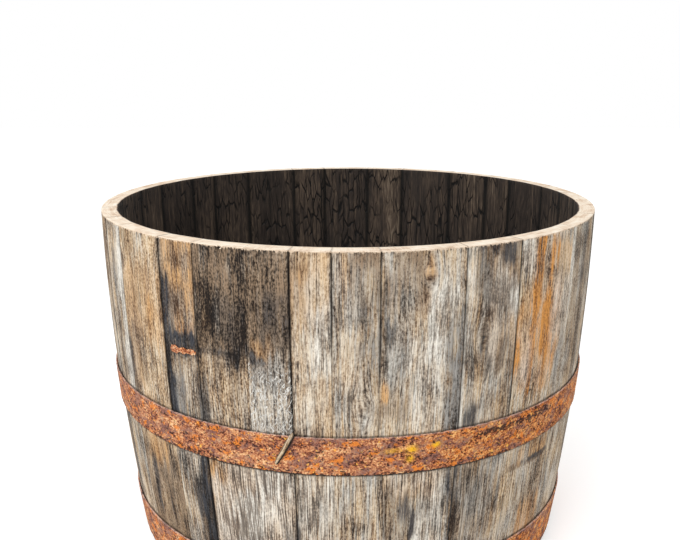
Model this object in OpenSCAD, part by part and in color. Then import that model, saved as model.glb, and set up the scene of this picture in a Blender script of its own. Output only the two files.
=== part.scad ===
// Half-barrel planter: the lower half of an oak cask, sawn through at its widest point.
// Bent staves stand in a ring, a boarded head sits in a groove near their feet,
// and two riveted steel hoops hold them together.
// Millimetres. +Z is up, -Y is the front. The origin is the centre of the foot, on the ground.

/* [Cask] */
// Diameter over the staves at the sawn rim, the cask's widest point
bilge_d = 680; // [620:5:780]
// Height from the foot to the sawn rim
height = 470; // [380:5:600]
// Radius of the bend along a stave's outer face
stave_bend_r = 3130; // [2400:10:4200]
// Thickness of a stave
stave_t = 22; // [18:0.5:30]
// Gap left between two staves as they dry out
stave_gap = 0.5; // [0.3:0.1:1.2]
// Azimuth of the first seam, from the front (-Y) towards +X, in degrees
first_seam_az = -53.8; // [-180:0.1:180]
// Height of the bevel inside the foot
chime_bevel_h = 22; // [10:1:30]
// Depth of that bevel into the stave
chime_bevel_d = 8; // [3:0.5:12]

/* [Head] */
// Height of the head's underside above the foot
head_z = 40; // [32:1:80]
// Thickness of the head boards
head_t = 22; // [16:0.5:28]
// Width of the middle board
head_middle_w = 136; // [100:1:160]
// Width of each of the two boards beside it
head_quarter_w = 126; // [90:1:140]
// Gap between two head boards
board_gap = 0.3; // [0.2:0.1:1]
// Depth of the groove in the staves that holds the head
croze_d = 5; // [3:0.5:8]
// Width of that groove
croze_w = 7; // [5:0.5:10]
// Clearance between the head's thinned edge and the groove
croze_clearance = 0.3; // [0.1:0.05:0.6]
// Width of the bevel that thins the head's edge
head_bevel_w = 16; // [8:1:24]

/* [Dowels] */
// Diameter of the dowels that align the head boards
dowel_d = 10; // [6:1:12]
// Length of a dowel
dowel_len = 60; // [30:2:80]
// Distance of each dowel from the head's centre line
dowel_offset = 100; // [60:5:140]
// Clearance round a dowel and at its ends
dowel_clearance = 0.1; // [0.05:0.05:0.4]

/* [Drain holes] */
// Diameter of the drain holes
drain_d = 22; // [12:1:30]
// Distance of the front and back holes from the middle one
drain_offset = 160; // [80:5:200]

/* [Hoops] */
// Thickness of the hoop steel
hoop_t = 2; // [1.5:0.1:2.6]
// Width of the upper hoop
quarter_hoop_w = 47; // [35:1:60]
// Height of the upper hoop's middle above the foot
quarter_hoop_z = 235; // [180:1:280]
// Azimuth of the upper hoop's lap, in degrees
quarter_lap_az = 172; // [90:1:270]
// Width of the lower hoop
chime_hoop_w = 60; // [45:1:65]
// Height of the lower hoop's middle above the foot
chime_hoop_z = 45; // [40:1:90]
// Azimuth of the lower hoop's lap, in degrees
chime_lap_az = 196; // [90:1:270]
// Length over which a hoop's two ends lap
lap_len = 72; // [60:1:100]
// Length of the step by which the outer end climbs over the inner one
joggle_len = 18; // [10:1:30]
// Gap between that step and the end of the inner layer
joggle_gap = 3; // [2:0.5:8]
// Clearance between a hoop and the staves
hoop_clearance = 0.15; // [0.1:0.05:0.4]
// Clearance between the two ends in the lap
lap_clearance = 0.1; // [0.05:0.05:0.3]

/* [Rivets] */
// Diameter of a rivet's shank
rivet_d = 8; // [5:0.5:10]
// Diameter of a rivet's head
rivet_head_d = 15; // [12:0.5:18]
// Height of a rivet's head
rivet_head_h = 2.2; // [1.5:0.1:3]
// Distance of a rivet from the end of the lap
rivet_inset = 18; // [12:1:24]
// Clearance round a rivet's shank and under its head
rivet_clearance = 0.05; // [0.05:0.05:0.2]

/* [Weathering] */
// Height of the rusty scrap of the lost bilge hoop above the foot
fragment_z = 341; // [300:1:370]
// Length of that scrap
fragment_len = 40; // [20:1:44]
// Height of that scrap
fragment_h = 9; // [6:1:16]
// Thickness of that scrap
fragment_t = 1.4; // [0.8:0.1:2]
// Distance of the scrap from the seam on its right
fragment_inset = 2; // [1:0.5:6]
// Clearance between the small loose scraps and what they lie on
scrap_clearance = 0.08; // [0.05:0.01:0.2]
// Width of the wood sliver that hangs over the upper hoop
sliver_w = 4.4; // [3:0.2:7]
// Thickness of the sliver
sliver_t = 1.8; // [1:0.1:2.4]
// How far down from the upper hoop's top edge the sliver's tip hangs
sliver_drop = 37; // [20:1:42]
// How far the sliver's tip swings to the left on its way down
sliver_swing = 21; // [5:1:28]

/* [Hidden] */
// Round parts are drawn with many sides, because the hoops lie close to the staves.
$fn = 180;
bend_fn = 1440;
cut_margin = 10;

// Widths of the staves at the rim, in the order of their seams, as shares of the circumference.
// The first eleven follow the staves that show from the front.
stave_widths = [
    88, 53, 66, 50, 45, 52, 96, 74, 107, 93, 106, 71, 63, 88, 55,
    79, 96, 68, 84, 60, 92, 73, 50, 81, 66, 90, 58, 76, 57
];
stave_count = len(stave_widths);
fragment_stave = 1;
sliver_seam = 4;

bilge_r = bilge_d / 2;
bend_axis_r = bilge_r - stave_bend_r;
gap_angle = stave_gap / bilge_r * 180 / PI;

head_mid_z = head_z + head_t / 2;
croze_r = inner_r(head_mid_z) + croze_d;
head_r = croze_r - croze_clearance;
tongue_t = croze_w - 2 * croze_clearance;
tongue_r = inner_r(head_z) - croze_clearance;
// The head boards' four joints lie across X, at these distances from the centre line.
middle_edge = head_middle_w / 2;
quarter_edge = middle_edge + head_quarter_w;
head_joints = [-quarter_edge, -middle_edge, middle_edge, quarter_edge];

// Layer 1 of a hoop lies over layer 0 where its ends lap.
layer_pitch = hoop_t + lap_clearance;
// The step between them is drawn a little finer than the strip and runs into both layers.
joggle_inset = 0.05;
joggle_weld = 1;

// Sum of the first n stave widths
function width_sum(n) = n <= 0 ? 0 : stave_widths[n - 1] + width_sum(n - 1);
// Turning angle about +Z, from +X, of an azimuth measured from the front
function turn(azimuth) = azimuth - 90;
// Turning angle of seam n; seam 0 comes round again as seam stave_count
function seam(n) = turn(first_seam_az) + 360 * width_sum(n) / width_sum(stave_count);
// Radius of the staves' outer face at height z
function outer_r(z) = bend_axis_r + sqrt(pow(stave_bend_r, 2) - pow(height - z, 2));
// Radius of the staves' inner face at height z
function inner_r(z) = bend_axis_r + sqrt(pow(stave_bend_r - stave_t, 2) - pow(height - z, 2));
// Lean of the staves' outer face from the vertical at height z
function lean(z) = asin((height - z) / stave_bend_r);
// Angle that a length takes up along a circle of radius r
function arc_angle(length, r) = length / r * 180 / PI;

function stave_name(n) = str("stave_", n < 9 ? "0" : "", n + 1);
function dowel_name(n) = str("head_dowel_", n + 1);
dowel_count = 2 * len(head_joints);

// Colours of the weathered oak, taken in turn round the barrel
oak_tones = ["#8f8376", "#7c6f62", "#9a8b78", "#857c74", "#6f6357"];
rust = "#8a4b2a";

// ---------- Staves ----------

module bend_circle(r) {
    translate([bend_axis_r, height]) circle(r, $fn = bend_fn);
}

// Upright section of a stave: a bent strip with the croze and the inner bevel at its foot
module stave_section() {
    foot_inner_r = inner_r(0);
    difference() {
        intersection() {
            difference() {
                bend_circle(stave_bend_r);
                bend_circle(stave_bend_r - stave_t);
            }
            translate([foot_inner_r - cut_margin, 0])
                square([bilge_r - foot_inner_r + 2 * cut_margin, height]);
        }
        translate([croze_r - croze_d - cut_margin, head_mid_z - croze_w / 2])
            square([croze_d + cut_margin, croze_w]);
        polygon([
            [foot_inner_r - cut_margin, -cut_margin],
            [foot_inner_r + chime_bevel_d, -cut_margin],
            [foot_inner_r + chime_bevel_d, 0],
            [inner_r(chime_bevel_h), chime_bevel_h],
            [foot_inner_r - cut_margin, chime_bevel_h]
        ]);
    }
}

module stave(n) {
    color(oak_tones[n % len(oak_tones)])
        rotate(seam(n) + gap_angle / 2)
            rotate_extrude(angle = seam(n + 1) - seam(n) - gap_angle)
                stave_section();
}

// ---------- Head ----------

// Half section of the round head, thinned at its edge to enter the croze
module head_section() {
    half_tongue = tongue_t / 2;
    polygon([
        [0, head_z],
        [tongue_r - head_bevel_w, head_z],
        [tongue_r, head_mid_z - half_tongue],
        [head_r, head_mid_z - half_tongue],
        [head_r, head_mid_z + half_tongue],
        [tongue_r, head_mid_z + half_tongue],
        [tongue_r - head_bevel_w, head_z + head_t],
        [0, head_z + head_t]
    ]);
}

// The eight dowels lie two to a joint, in front of and behind the centre line.
module dowel_place(n) {
    side = n % 2 == 0 ? -1 : 1;
    translate([head_joints[floor(n / 2)], side * dowel_offset, head_mid_z])
        rotate([0, 90, 0])
            children();
}

module dowel(n) {
    color("tan")
        dowel_place(n) cylinder(d = dowel_d, h = dowel_len, center = true);
}

module dowel_holes() {
    for (n = [0 : dowel_count - 1])
        dowel_place(n)
            cylinder(d = dowel_d + 2 * dowel_clearance, h = dowel_len + 2 * dowel_clearance, center = true);
}

// One hole in the middle of each of the three wide boards, and two more along the middle one
module drain_holes() {
    quarter_middle = (middle_edge + quarter_edge) / 2;
    places = [
        [0, 0],
        [0, -drain_offset],
        [0, drain_offset],
        [-quarter_middle, 0],
        [quarter_middle, 0]
    ];
    for (place = places)
        translate([place[0], place[1], head_z - cut_margin])
            cylinder(d = drain_d, h = head_t + 2 * cut_margin);
}

// A board of the head, from one x to another, with its grain along Y
module head_board(x_from, x_to) {
    color("#5b4738")
        difference() {
            intersection() {
                rotate_extrude() head_section();
                translate([x_from + board_gap / 2, -bilge_r, 0])
                    cube([x_to - x_from - board_gap, bilge_d, head_z + head_t + cut_margin]);
            }
            dowel_holes();
            drain_holes();
        }
}

// ---------- Hoops ----------

// Point of a hoop's section: u is measured out from the stave, v up the strip from its middle
function hoop_point(z_mid, u, v) =
    let (tilt = lean(z_mid))
    [
        outer_r(z_mid) + u * cos(tilt) + v * sin(tilt),
        z_mid - u * sin(tilt) + v * cos(tilt)
    ];

// The four corners of a hoop's section in one layer, drawn in by an inset
function hoop_corners(z_mid, w, layer, inset = 0) =
    let (
        u_in = hoop_clearance + layer * layer_pitch + inset,
        u_out = u_in + hoop_t - 2 * inset,
        v = w / 2 - inset
    )
    [
        hoop_point(z_mid, u_in, -v),
        hoop_point(z_mid, u_out, -v),
        hoop_point(z_mid, u_out, v),
        hoop_point(z_mid, u_in, v)
    ];

// A section's corner, turned about +Z
function turned(p, angle) = [p[0] * cos(angle), p[0] * sin(angle), p[1]];

module hoop_arc(z_mid, w, layer, from, angle) {
    rotate(from)
        rotate_extrude(angle = angle)
            polygon(hoop_corners(z_mid, w, layer));
}

// The short step between the two layers
module hoop_joggle(z_mid, w, from, to) {
    low = [for (p = hoop_corners(z_mid, w, 0, joggle_inset)) turned(p, from)];
    high = [for (p = hoop_corners(z_mid, w, 1, joggle_inset)) turned(p, to)];
    polyhedron(
        points = concat(low, high),
        faces = [
            [3, 2, 1, 0], [4, 5, 6, 7],
            [0, 1, 4], [1, 5, 4],
            [1, 2, 5], [2, 6, 5],
            [2, 3, 6], [3, 7, 6],
            [3, 0, 7], [0, 4, 7]
        ]
    );
}

// Rivets sit on the middle line of the lap, one near each end.
module rivet_place(z_mid, lap_az, n) {
    reach = arc_angle(lap_len / 2 - rivet_inset, outer_r(z_mid));
    rotate(turn(lap_az) + (n == 0 ? -reach : reach))
        translate([outer_r(z_mid), 0, z_mid])
            rotate([0, 90 + lean(z_mid), 0])
                children();
}

module hoop(z_mid, w, lap_az) {
    r = outer_r(z_mid);
    lap = arc_angle(lap_len, r);
    joggle = arc_angle(joggle_len, r);
    gap = arc_angle(joggle_gap, r);
    weld = arc_angle(joggle_weld, r);
    // The inner layer starts where the lap starts, and the outer one ends with the lap.
    start = turn(lap_az) - lap / 2;
    color(rust)
        difference() {
            union() {
                hoop_arc(z_mid, w, 0, start, 360 - joggle - gap);
                hoop_joggle(z_mid, w, start - gap - joggle - weld, start - gap + weld);
                hoop_arc(z_mid, w, 1, start - gap, lap + gap);
            }
            for (n = [0, 1])
                rivet_place(z_mid, lap_az, n)
                    translate([0, 0, -cut_margin / 2])
                        cylinder(d = rivet_d + 2 * rivet_clearance, h = 2 * cut_margin);
        }
}

// A shank through both layers, flush inside, with a domed head outside
module rivet(z_mid, lap_az, n) {
    head_seat = hoop_clearance + hoop_t + layer_pitch + rivet_clearance;
    dome_r = (pow(rivet_head_d / 2, 2) + pow(rivet_head_h, 2)) / (2 * rivet_head_h);
    color(rust)
        rivet_place(z_mid, lap_az, n)
            rotate_extrude() {
                translate([0, hoop_clearance])
                    square([rivet_d / 2, head_seat - hoop_clearance + rivet_head_h / 2]);
                intersection() {
                    translate([0, head_seat + rivet_head_h - dome_r]) circle(dome_r);
                    translate([0, head_seat]) square([rivet_head_d, rivet_head_h]);
                }
            }
}

module quarter_hoop() hoop(quarter_hoop_z, quarter_hoop_w, quarter_lap_az);
module quarter_hoop_rivet(n) rivet(quarter_hoop_z, quarter_lap_az, n);
module chime_hoop() hoop(chime_hoop_z, chime_hoop_w, chime_lap_az);
module chime_hoop_rivet(n) rivet(chime_hoop_z, chime_lap_az, n);

// ---------- Small scraps ----------

// A flattened bead of the sliver: its inner side lies at radius r, its size is a share of the sliver's
module sliver_bead(angle, r, z, share) {
    w = share * sliver_w;
    t = share * sliver_t;
    rotate(angle)
        translate([r + scrap_clearance + t / 2, 0, z])
            scale([t / w, 1, 1])
                sphere(d = w, $fn = 14);
}

// A splinter from the edge of a seam, bent over the hoop's top edge and hanging down its face
module seam_sliver() {
    hoop_face = hoop_clearance + hoop_t;
    hoop_top = hoop_point(quarter_hoop_z, hoop_face, quarter_hoop_w / 2);
    tip = hoop_point(quarter_hoop_z, hoop_face, quarter_hoop_w / 2 - sliver_drop);
    root_z = hoop_top[1] + sliver_w;
    bend_z = hoop_top[1] + sliver_w / 2;
    belly = (hoop_top + tip) / 2;
    root_angle = seam(sliver_seam);
    tip_angle = root_angle - arc_angle(sliver_swing, tip[0]);
    belly_angle = (root_angle + tip_angle) / 2;
    color("#7a6a58") {
        hull() {
            sliver_bead(root_angle, outer_r(root_z), root_z, 0.6);
            sliver_bead(root_angle, hoop_top[0], bend_z, 0.8);
        }
        hull() {
            sliver_bead(root_angle, hoop_top[0], bend_z, 0.8);
            sliver_bead(belly_angle, belly[0], belly[1], 1);
            sliver_bead(tip_angle, tip[0], tip[1], 0.3);
        }
    }
}

// A crust of the bilge hoop that rusted away, still stuck to its stave
module hoop_fragment() {
    r = outer_r(fragment_z) + scrap_clearance;
    right = seam(fragment_stave + 1) - arc_angle(fragment_inset, r);
    span = arc_angle(fragment_len, r);
    // Ragged outline, as shares of the scrap's length and height
    outline = [
        [0, 0.2], [0.06, 0.9], [0.2, 1], [0.32, 0.82], [0.5, 0.95], [0.66, 0.86], [0.8, 1],
        [1, 0.7], [0.97, 0.3], [0.84, 0.12], [0.62, 0], [0.45, 0.14], [0.26, 0.02], [0.1, 0.1]
    ];
    color(rust)
        intersection() {
            rotate(right - span)
                rotate_extrude(angle = span)
                    translate([r, fragment_z])
                        rotate(-lean(fragment_z))
                            translate([0, -fragment_h / 2]) square([fragment_t, fragment_h]);
            rotate(right - span / 2)
                translate([r - cut_margin, 0, fragment_z])
                    rotate([90, 0, 90])
                        linear_extrude(2 * cut_margin)
                            polygon([for (p = outline)
                                [(p[0] - 0.5) * fragment_len, (p[1] - 0.5) * fragment_h]]);
        }
}

for (n = [0 : stave_count - 1])
    stave(n);
head_board(-head_r - cut_margin, -quarter_edge);  // head_cant_left
head_board(-quarter_edge, -middle_edge);  // head_quarter_left
head_board(-middle_edge, middle_edge);  // head_middle
head_board(middle_edge, quarter_edge);  // head_quarter_right
head_board(quarter_edge, head_r + cut_margin);  // head_cant_right
for (n = [0 : dowel_count - 1])
    dowel(n);
quarter_hoop();
quarter_hoop_rivet(0);  // quarter_hoop_rivet_1
quarter_hoop_rivet(1);  // quarter_hoop_rivet_2
chime_hoop();
chime_hoop_rivet(0);  // chime_hoop_rivet_1
chime_hoop_rivet(1);  // chime_hoop_rivet_2
seam_sliver();
hoop_fragment();
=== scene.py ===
# %% [markdown]
# # A half-barrel planter
#
# The object is the lower half of an oak cask, sawn through at its widest point: 29 bent staves, a
# boarded head low inside, two riveted hoops, and the marks of years outdoors. The solids come from
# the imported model, at their real size. This script gives them their surfaces: split and stained
# oak, a pale sawn rim, a charred inside and scaly rust.

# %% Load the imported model
import math

import bmesh
import bpy
import numpy as np
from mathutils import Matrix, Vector


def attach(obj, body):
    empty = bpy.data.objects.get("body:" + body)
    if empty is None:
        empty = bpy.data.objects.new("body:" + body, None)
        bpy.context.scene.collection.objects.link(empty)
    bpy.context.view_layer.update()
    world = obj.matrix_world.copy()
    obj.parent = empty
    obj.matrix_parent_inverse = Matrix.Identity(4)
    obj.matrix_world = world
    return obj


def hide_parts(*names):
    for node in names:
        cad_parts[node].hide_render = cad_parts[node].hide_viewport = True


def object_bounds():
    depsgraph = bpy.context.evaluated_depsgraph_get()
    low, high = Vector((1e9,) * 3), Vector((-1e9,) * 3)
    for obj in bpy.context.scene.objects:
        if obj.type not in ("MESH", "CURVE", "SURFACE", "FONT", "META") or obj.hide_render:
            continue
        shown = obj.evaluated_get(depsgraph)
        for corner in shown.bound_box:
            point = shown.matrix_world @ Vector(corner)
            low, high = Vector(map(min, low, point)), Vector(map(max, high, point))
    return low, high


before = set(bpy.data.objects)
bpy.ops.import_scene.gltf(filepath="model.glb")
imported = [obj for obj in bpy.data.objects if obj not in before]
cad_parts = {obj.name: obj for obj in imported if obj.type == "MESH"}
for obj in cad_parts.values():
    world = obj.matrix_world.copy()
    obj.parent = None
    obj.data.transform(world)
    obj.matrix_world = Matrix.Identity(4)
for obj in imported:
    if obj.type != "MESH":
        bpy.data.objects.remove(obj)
cad_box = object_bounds()
print("solids:", len(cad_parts), "box:", [round(v, 4) for v in cad_box[1]])

# %% [markdown]
# ## Sizes
#
# The rim's radius and the height are read from the solids. The bend of a stave, its thickness and
# the hoops' sections are the construction's own sizes, in metres. A stave's outer face is an arc
# whose centre lies at the rim's height, far behind the axis, so a cask stands upright at the cut
# and draws in towards the foot.

# %% Sizes that the pieces share
RIM_R = cad_box[1].x
HEIGHT = cad_box[1].z
BEND_R = 3.130
STAVE_T = 0.022
HEAD_Z = 0.040
HEAD_T = 0.022
CROZE_DEPTH = 0.005
CROZE_W = 0.007
CHIME_BEVEL_H = 0.022
CHIME_BEVEL_D = 0.008
HOOP_T = 0.002
HOOP_GAP = 0.00015
LAP_GAP = 0.0001
LAP_LEN = 0.072
JOGGLE_LEN = 0.018
JOGGLE_GAP = 0.003
STAVE_COUNT = 29


def outer_radius(z):
    """Radius of the staves' outer face at height z."""
    return RIM_R - BEND_R + math.sqrt(BEND_R**2 - (HEIGHT - z) ** 2)


def inner_radius(z):
    """Radius of the staves' inner face at height z."""
    return RIM_R - BEND_R + math.sqrt((BEND_R - STAVE_T) ** 2 - (HEIGHT - z) ** 2)


print("foot radius:", round(outer_radius(0), 4), "inside it:", round(inner_radius(0), 4))

# %% [markdown]
# ## Helpers for node trees
#
# Geometry Nodes and shader nodes are wired the same way: a node is added, its settings are set, and
# each input gets either a value or another node's output. A few short helpers keep the trees
# readable.


# %% Node helpers
def add_node(tree, kind, inputs=None, **settings):
    """Adds a node, applies its settings, and links or sets the inputs that are given by name."""
    node = tree.nodes.new(kind)
    for name, value in settings.items():
        setattr(node, name, value)
    for name, value in (inputs or {}).items():
        plug_in(tree, value, node.inputs[name])
    return node


def plug_in(tree, value, socket):
    """Links an output to the socket, or sets the socket to a plain value."""
    if isinstance(value, bpy.types.NodeSocket):
        tree.links.new(value, socket)
    else:
        socket.default_value = value


def calc(tree, operation, *values, clamp=False):
    """A Math node's output."""
    node = add_node(tree, "ShaderNodeMath", operation=operation, use_clamp=clamp)
    for socket, value in zip(node.inputs, values):
        plug_in(tree, value, socket)
    return node.outputs[0]


def times(tree, a, b, clamp=False):
    """a times b."""
    return calc(tree, "MULTIPLY", a, b, clamp=clamp)


def plus(tree, a, b, clamp=False):
    """a plus b."""
    return calc(tree, "ADD", a, b, clamp=clamp)


def minus(tree, a, b):
    """a minus b."""
    return calc(tree, "SUBTRACT", a, b)


def remap(tree, value, low, high, to_low=0.0, to_high=1.0, smooth=True):
    """Takes a range of values to another one, clamped, with soft ends if smooth."""
    kind = "SMOOTHSTEP" if smooth else "LINEAR"
    inputs = {"Value": value, "From Min": low, "From Max": high, "To Min": to_low, "To Max": to_high}
    return add_node(tree, "ShaderNodeMapRange", inputs, interpolation_type=kind).outputs["Result"]


# %% [markdown]
# ## The sweep that makes every stave and hoop
#
# A stave and a hoop are the same kind of thing: a flat section carried round the cask's axis. On the
# bench that is a bent strip, and here it is Curve to Mesh, which carries a profile along a rail and
# closes both ends. The rail is only a straight line of columns: each vertex remembers how far along
# the rail and where in the section it lies, and a Set Position step then puts it at its angle,
# radius and height. Rules that a real strip follows, such as worn arrises, uneven faces and a lap
# that steps over itself, are added to the radius there.


# %% Start a tree and sweep in it
def new_tree(name, sizes, count="Columns"):
    """A tree with named inputs: sizes, a whole number and a material. Also returns those inputs."""
    tree = bpy.data.node_groups.new(name, "GeometryNodeTree")
    kinds = {"Geometry": "NodeSocketGeometry", count: "NodeSocketInt", "Material": "NodeSocketMaterial"}
    kinds |= dict.fromkeys(sizes, "NodeSocketFloat")
    for given, kind in kinds.items():
        tree.interface.new_socket(given, in_out="INPUT", socket_type=kind)
    tree.interface.new_socket("Geometry", in_out="OUTPUT", socket_type="NodeSocketGeometry")
    return tree, add_node(tree, "NodeGroupInput").outputs


def store(tree, geometry, name, value):
    """Stores a float on every point under a name, and returns the geometry."""
    inputs = {"Geometry": geometry, "Name": name, "Value": value}
    return add_node(tree, "GeometryNodeStoreNamedAttribute", inputs).outputs["Geometry"]


def recall(tree, name):
    """Reads a float stored under a name."""
    return add_node(tree, "GeometryNodeInputNamedAttribute", {"Name": name}).outputs["Attribute"]


def sweep_section(tree, section, columns):
    """Carries the section along a straight rail. Points keep sweep, ring_r and ring_z."""
    place = add_node(tree, "GeometryNodeInputPosition").outputs[0]
    parts = add_node(tree, "ShaderNodeSeparateXYZ", {"Vector": place})
    section = store(tree, section, "ring_r", parts.outputs["X"])
    section = store(tree, section, "ring_z", parts.outputs["Z"])
    profile = add_node(tree, "GeometryNodeMeshToCurve", {"Mesh": section}).outputs["Curve"]
    line = add_node(tree, "GeometryNodeCurvePrimitiveLine", {"End": (0, 0, 1)}).outputs["Curve"]
    rail = add_node(tree, "GeometryNodeResampleCurve", {"Curve": line, "Count": columns}).outputs["Curve"]
    factor = add_node(tree, "GeometryNodeSplineParameter").outputs["Factor"]
    rail = store(tree, rail, "sweep", factor)
    inputs = {"Curve": rail, "Profile Curve": profile, "Fill Caps": True}
    return add_node(tree, "GeometryNodeCurveToMesh", inputs).outputs["Mesh"]


def place_round_axis(tree, mesh, angle, radius, height):
    """Moves every point to its angle, radius and height."""
    x = times(tree, radius, calc(tree, "COSINE", angle))
    y = times(tree, radius, calc(tree, "SINE", angle))
    place = add_node(tree, "ShaderNodeCombineXYZ", {"X": x, "Y": y, "Z": height}).outputs[0]
    return add_node(tree, "GeometryNodeSetPosition", {"Geometry": mesh, "Position": place}).outputs[0]


def finish_tree(tree, mesh, material):
    """Realises the result, gives it its material and sends it out."""
    real = add_node(tree, "GeometryNodeRealizeInstances", {"Geometry": mesh}).outputs[0]
    done = add_node(tree, "GeometryNodeSetMaterial", {"Geometry": real, "Material": material}).outputs[0]
    end = add_node(tree, "NodeGroupOutput")
    tree.links.new(done, end.inputs["Geometry"])


# %% [markdown]
# ## Baking a tree into a plain mesh
#
# The modifier's inputs are found by name and set by identifier before anything is evaluated. The
# evaluated result is copied into a plain mesh, and the modifier is taken off, so what is left is an
# ordinary piece with its place in its vertices.


# %% Make and bake
MERGE_DISTANCE = 1e-6
SHARP_ANGLE = math.radians(40)
MOST_CORNERS = 4  # a face with more corners is a flat end and isn't smoothed


def add_piece(name, data):
    """Puts a mesh, a lamp or a camera in the scene as an object."""
    piece = bpy.data.objects.new(name, data)
    bpy.context.scene.collection.objects.link(piece)
    return piece


def wire_mesh(name, points):
    """A closed loop of edges through (radius, height) points, as the section that a tree sweeps."""
    mesh = bpy.data.meshes.new(name)
    count = len(points)
    edges = [(i, (i + 1) % count) for i in range(count)]
    mesh.from_pydata([(r, 0.0, z) for r, z in points], edges, [])
    return add_piece(name, mesh)


def bake_tree(piece, tree, inputs):
    """Runs the tree on the piece with these inputs and leaves a plain mesh."""
    modifier = piece.modifiers.new("Sweep", "NODES")
    modifier.node_group = tree
    sockets = {s.name: s.identifier for s in tree.interface.items_tree if s.in_out == "INPUT"}
    for name, value in inputs.items():
        modifier[sockets[name]] = value
    evaluated = piece.evaluated_get(bpy.context.evaluated_depsgraph_get())
    mesh = bpy.data.meshes.new_from_object(evaluated)
    piece.modifiers.remove(modifier)
    mesh.name = piece.name
    piece.data = mesh
    face_outwards(mesh)
    return piece


def face_outwards(mesh):
    """Turns every face outwards and smooths the gentle edges."""
    work = bmesh.new()
    work.from_mesh(mesh)
    bmesh.ops.remove_doubles(work, verts=work.verts, dist=MERGE_DISTANCE)
    bmesh.ops.recalc_face_normals(work, faces=work.faces)
    work.to_mesh(mesh)
    work.free()
    mesh.polygons.foreach_set("use_smooth", [len(p.vertices) <= MOST_CORNERS for p in mesh.polygons])
    mesh.set_sharp_from_angle(angle=SHARP_ANGLE)


# %% [markdown]
# ## Vertex values that the materials read
#
# Wood grain follows each stave, so a pattern on plain object coordinates would cut across it. Every
# oak piece therefore stores a vector called grain: metres across the board, along it and into it,
# plus a shift of its own that gives each board its own figure. Marks that sit at one place, such as
# a stain, are stored as plain floats beside it.


# %% Write attributes
def write_vector(mesh, name, values):
    """Stores one vector per vertex."""
    layer = mesh.attributes.new(name, "FLOAT_VECTOR", "POINT")
    layer.data.foreach_set("vector", np.ascontiguousarray(values, np.float32).ravel())


def write_float(mesh, name, values):
    """Stores one float per vertex."""
    layer = mesh.attributes.new(name, "FLOAT", "POINT")
    layer.data.foreach_set("value", np.ascontiguousarray(values, np.float32))


def write_same(mesh, values):
    """Stores floats that are the same all over a piece, given as a dictionary."""
    for name, value in values.items():
        write_float(mesh, name, np.full(len(mesh.vertices), value))


def read_vertices(mesh):
    """All vertex places as an array of rows."""
    places = np.empty(len(mesh.vertices) * 3, np.float32)
    mesh.vertices.foreach_get("co", places)
    return places.reshape(-1, 3).astype(float)


def azimuth_of(places):
    """Degrees round the cask from the front, positive towards +X."""
    return np.degrees(np.arctan2(places[:, 0], -places[:, 1]))


# %% [markdown]
# ## The stave's section
#
# Seen from the side a stave is a bent strip with three cuts: the flat saw cut at the rim, the croze,
# which is the groove that holds the head, and a bevel inside the foot called the chime. The outline
# is walked once round, with points closer together where the shape turns, and each arris is eased
# because wood never keeps a knife edge.

# %% Section of a stave
FACE_STEP = 0.0035
INSIDE_STEP = 0.0056
FOOT_STEP = 0.008
END_CROWDING = 0.3
RIM_STEPS = 7
ARRIS = 0.0008
CORNER = 0.3  # share of an arris by which its rounded corner stands in


def along_bend(radius_at, z_from, z_to, step=FACE_STEP):
    """Points on the bent face from one height to another, with closer rows near both ends."""
    count = max(2, int(abs(z_to - z_from) / step))
    turn = [0.5 - 0.5 * math.cos(math.pi * i / count) for i in range(count + 1)]
    even = [i / count for i in range(count + 1)]
    shares = [END_CROWDING * t + (1 - END_CROWDING) * e for t, e in zip(turn, even)]
    heights = [z_from + (z_to - z_from) * s for s in shares]
    return [(radius_at(z), z) for z in heights]


def stave_section():
    """The closed outline of a stave as (radius, height) points, starting outside at the foot."""
    croze_low = HEAD_Z + HEAD_T / 2 - CROZE_W / 2
    croze_high = croze_low + CROZE_W
    croze_r = inner_radius(HEAD_Z + HEAD_T / 2) + CROZE_DEPTH
    bevel_r = inner_radius(0) + CHIME_BEVEL_D
    points = along_bend(outer_radius, ARRIS, HEIGHT - ARRIS)
    for turn in (30, 60, 90):
        angle = math.radians(turn)
        points.append((RIM_R - ARRIS * (1 - math.cos(angle)), HEIGHT - ARRIS * (1 - math.sin(angle))))
    top_in = RIM_R - STAVE_T + ARRIS
    top_out = RIM_R - ARRIS
    rim = [top_out + (top_in - top_out) * i / RIM_STEPS for i in range(1, RIM_STEPS + 1)]
    points += [(r, HEIGHT) for r in rim]
    points.append((RIM_R - STAVE_T + ARRIS * CORNER, HEIGHT - ARRIS * CORNER))
    points += along_bend(inner_radius, HEIGHT - ARRIS, croze_high, INSIDE_STEP)
    points += [(croze_r, croze_high), (croze_r, croze_low)]
    points += along_bend(inner_radius, croze_low, CHIME_BEVEL_H, FOOT_STEP)
    points += [(bevel_r, 0.0), (outer_radius(0) - ARRIS, 0.0)]
    return points


print("points round a stave's section:", len(stave_section()))

# %% [markdown]
# ## Seams
#
# The seams are read from the solids: the smallest and largest angle of each stave's own vertices.
# Some seams in the photograph are tight and weathered over, others stand open and black, so each
# side of a stave gets its own arris: a small one closes the seam to a hairline, a large one opens a
# groove that holds shadow.


# %% Angles of the staves
def stave_node(index):
    """Name of a stave's solid, counted from 0."""
    return f"stave_{index + 1:02d}"


def stave_span(index):
    """First and last angle of a stave about the axis, in radians from +X."""
    places = read_vertices(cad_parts[stave_node(index)].data)
    angles = np.arctan2(places[:, 1], places[:, 0])
    middle = math.atan2(places[:, 1].mean(), places[:, 0].mean())
    spread = (angles - middle + math.pi) % (2 * math.pi) - math.pi
    return middle + spread.min(), middle + spread.max()


SPANS = [stave_span(i) for i in range(STAVE_COUNT)]
print("stave widths at the rim, mm:", [round((b - a) * RIM_R * 1000) for a, b in SPANS])


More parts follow.
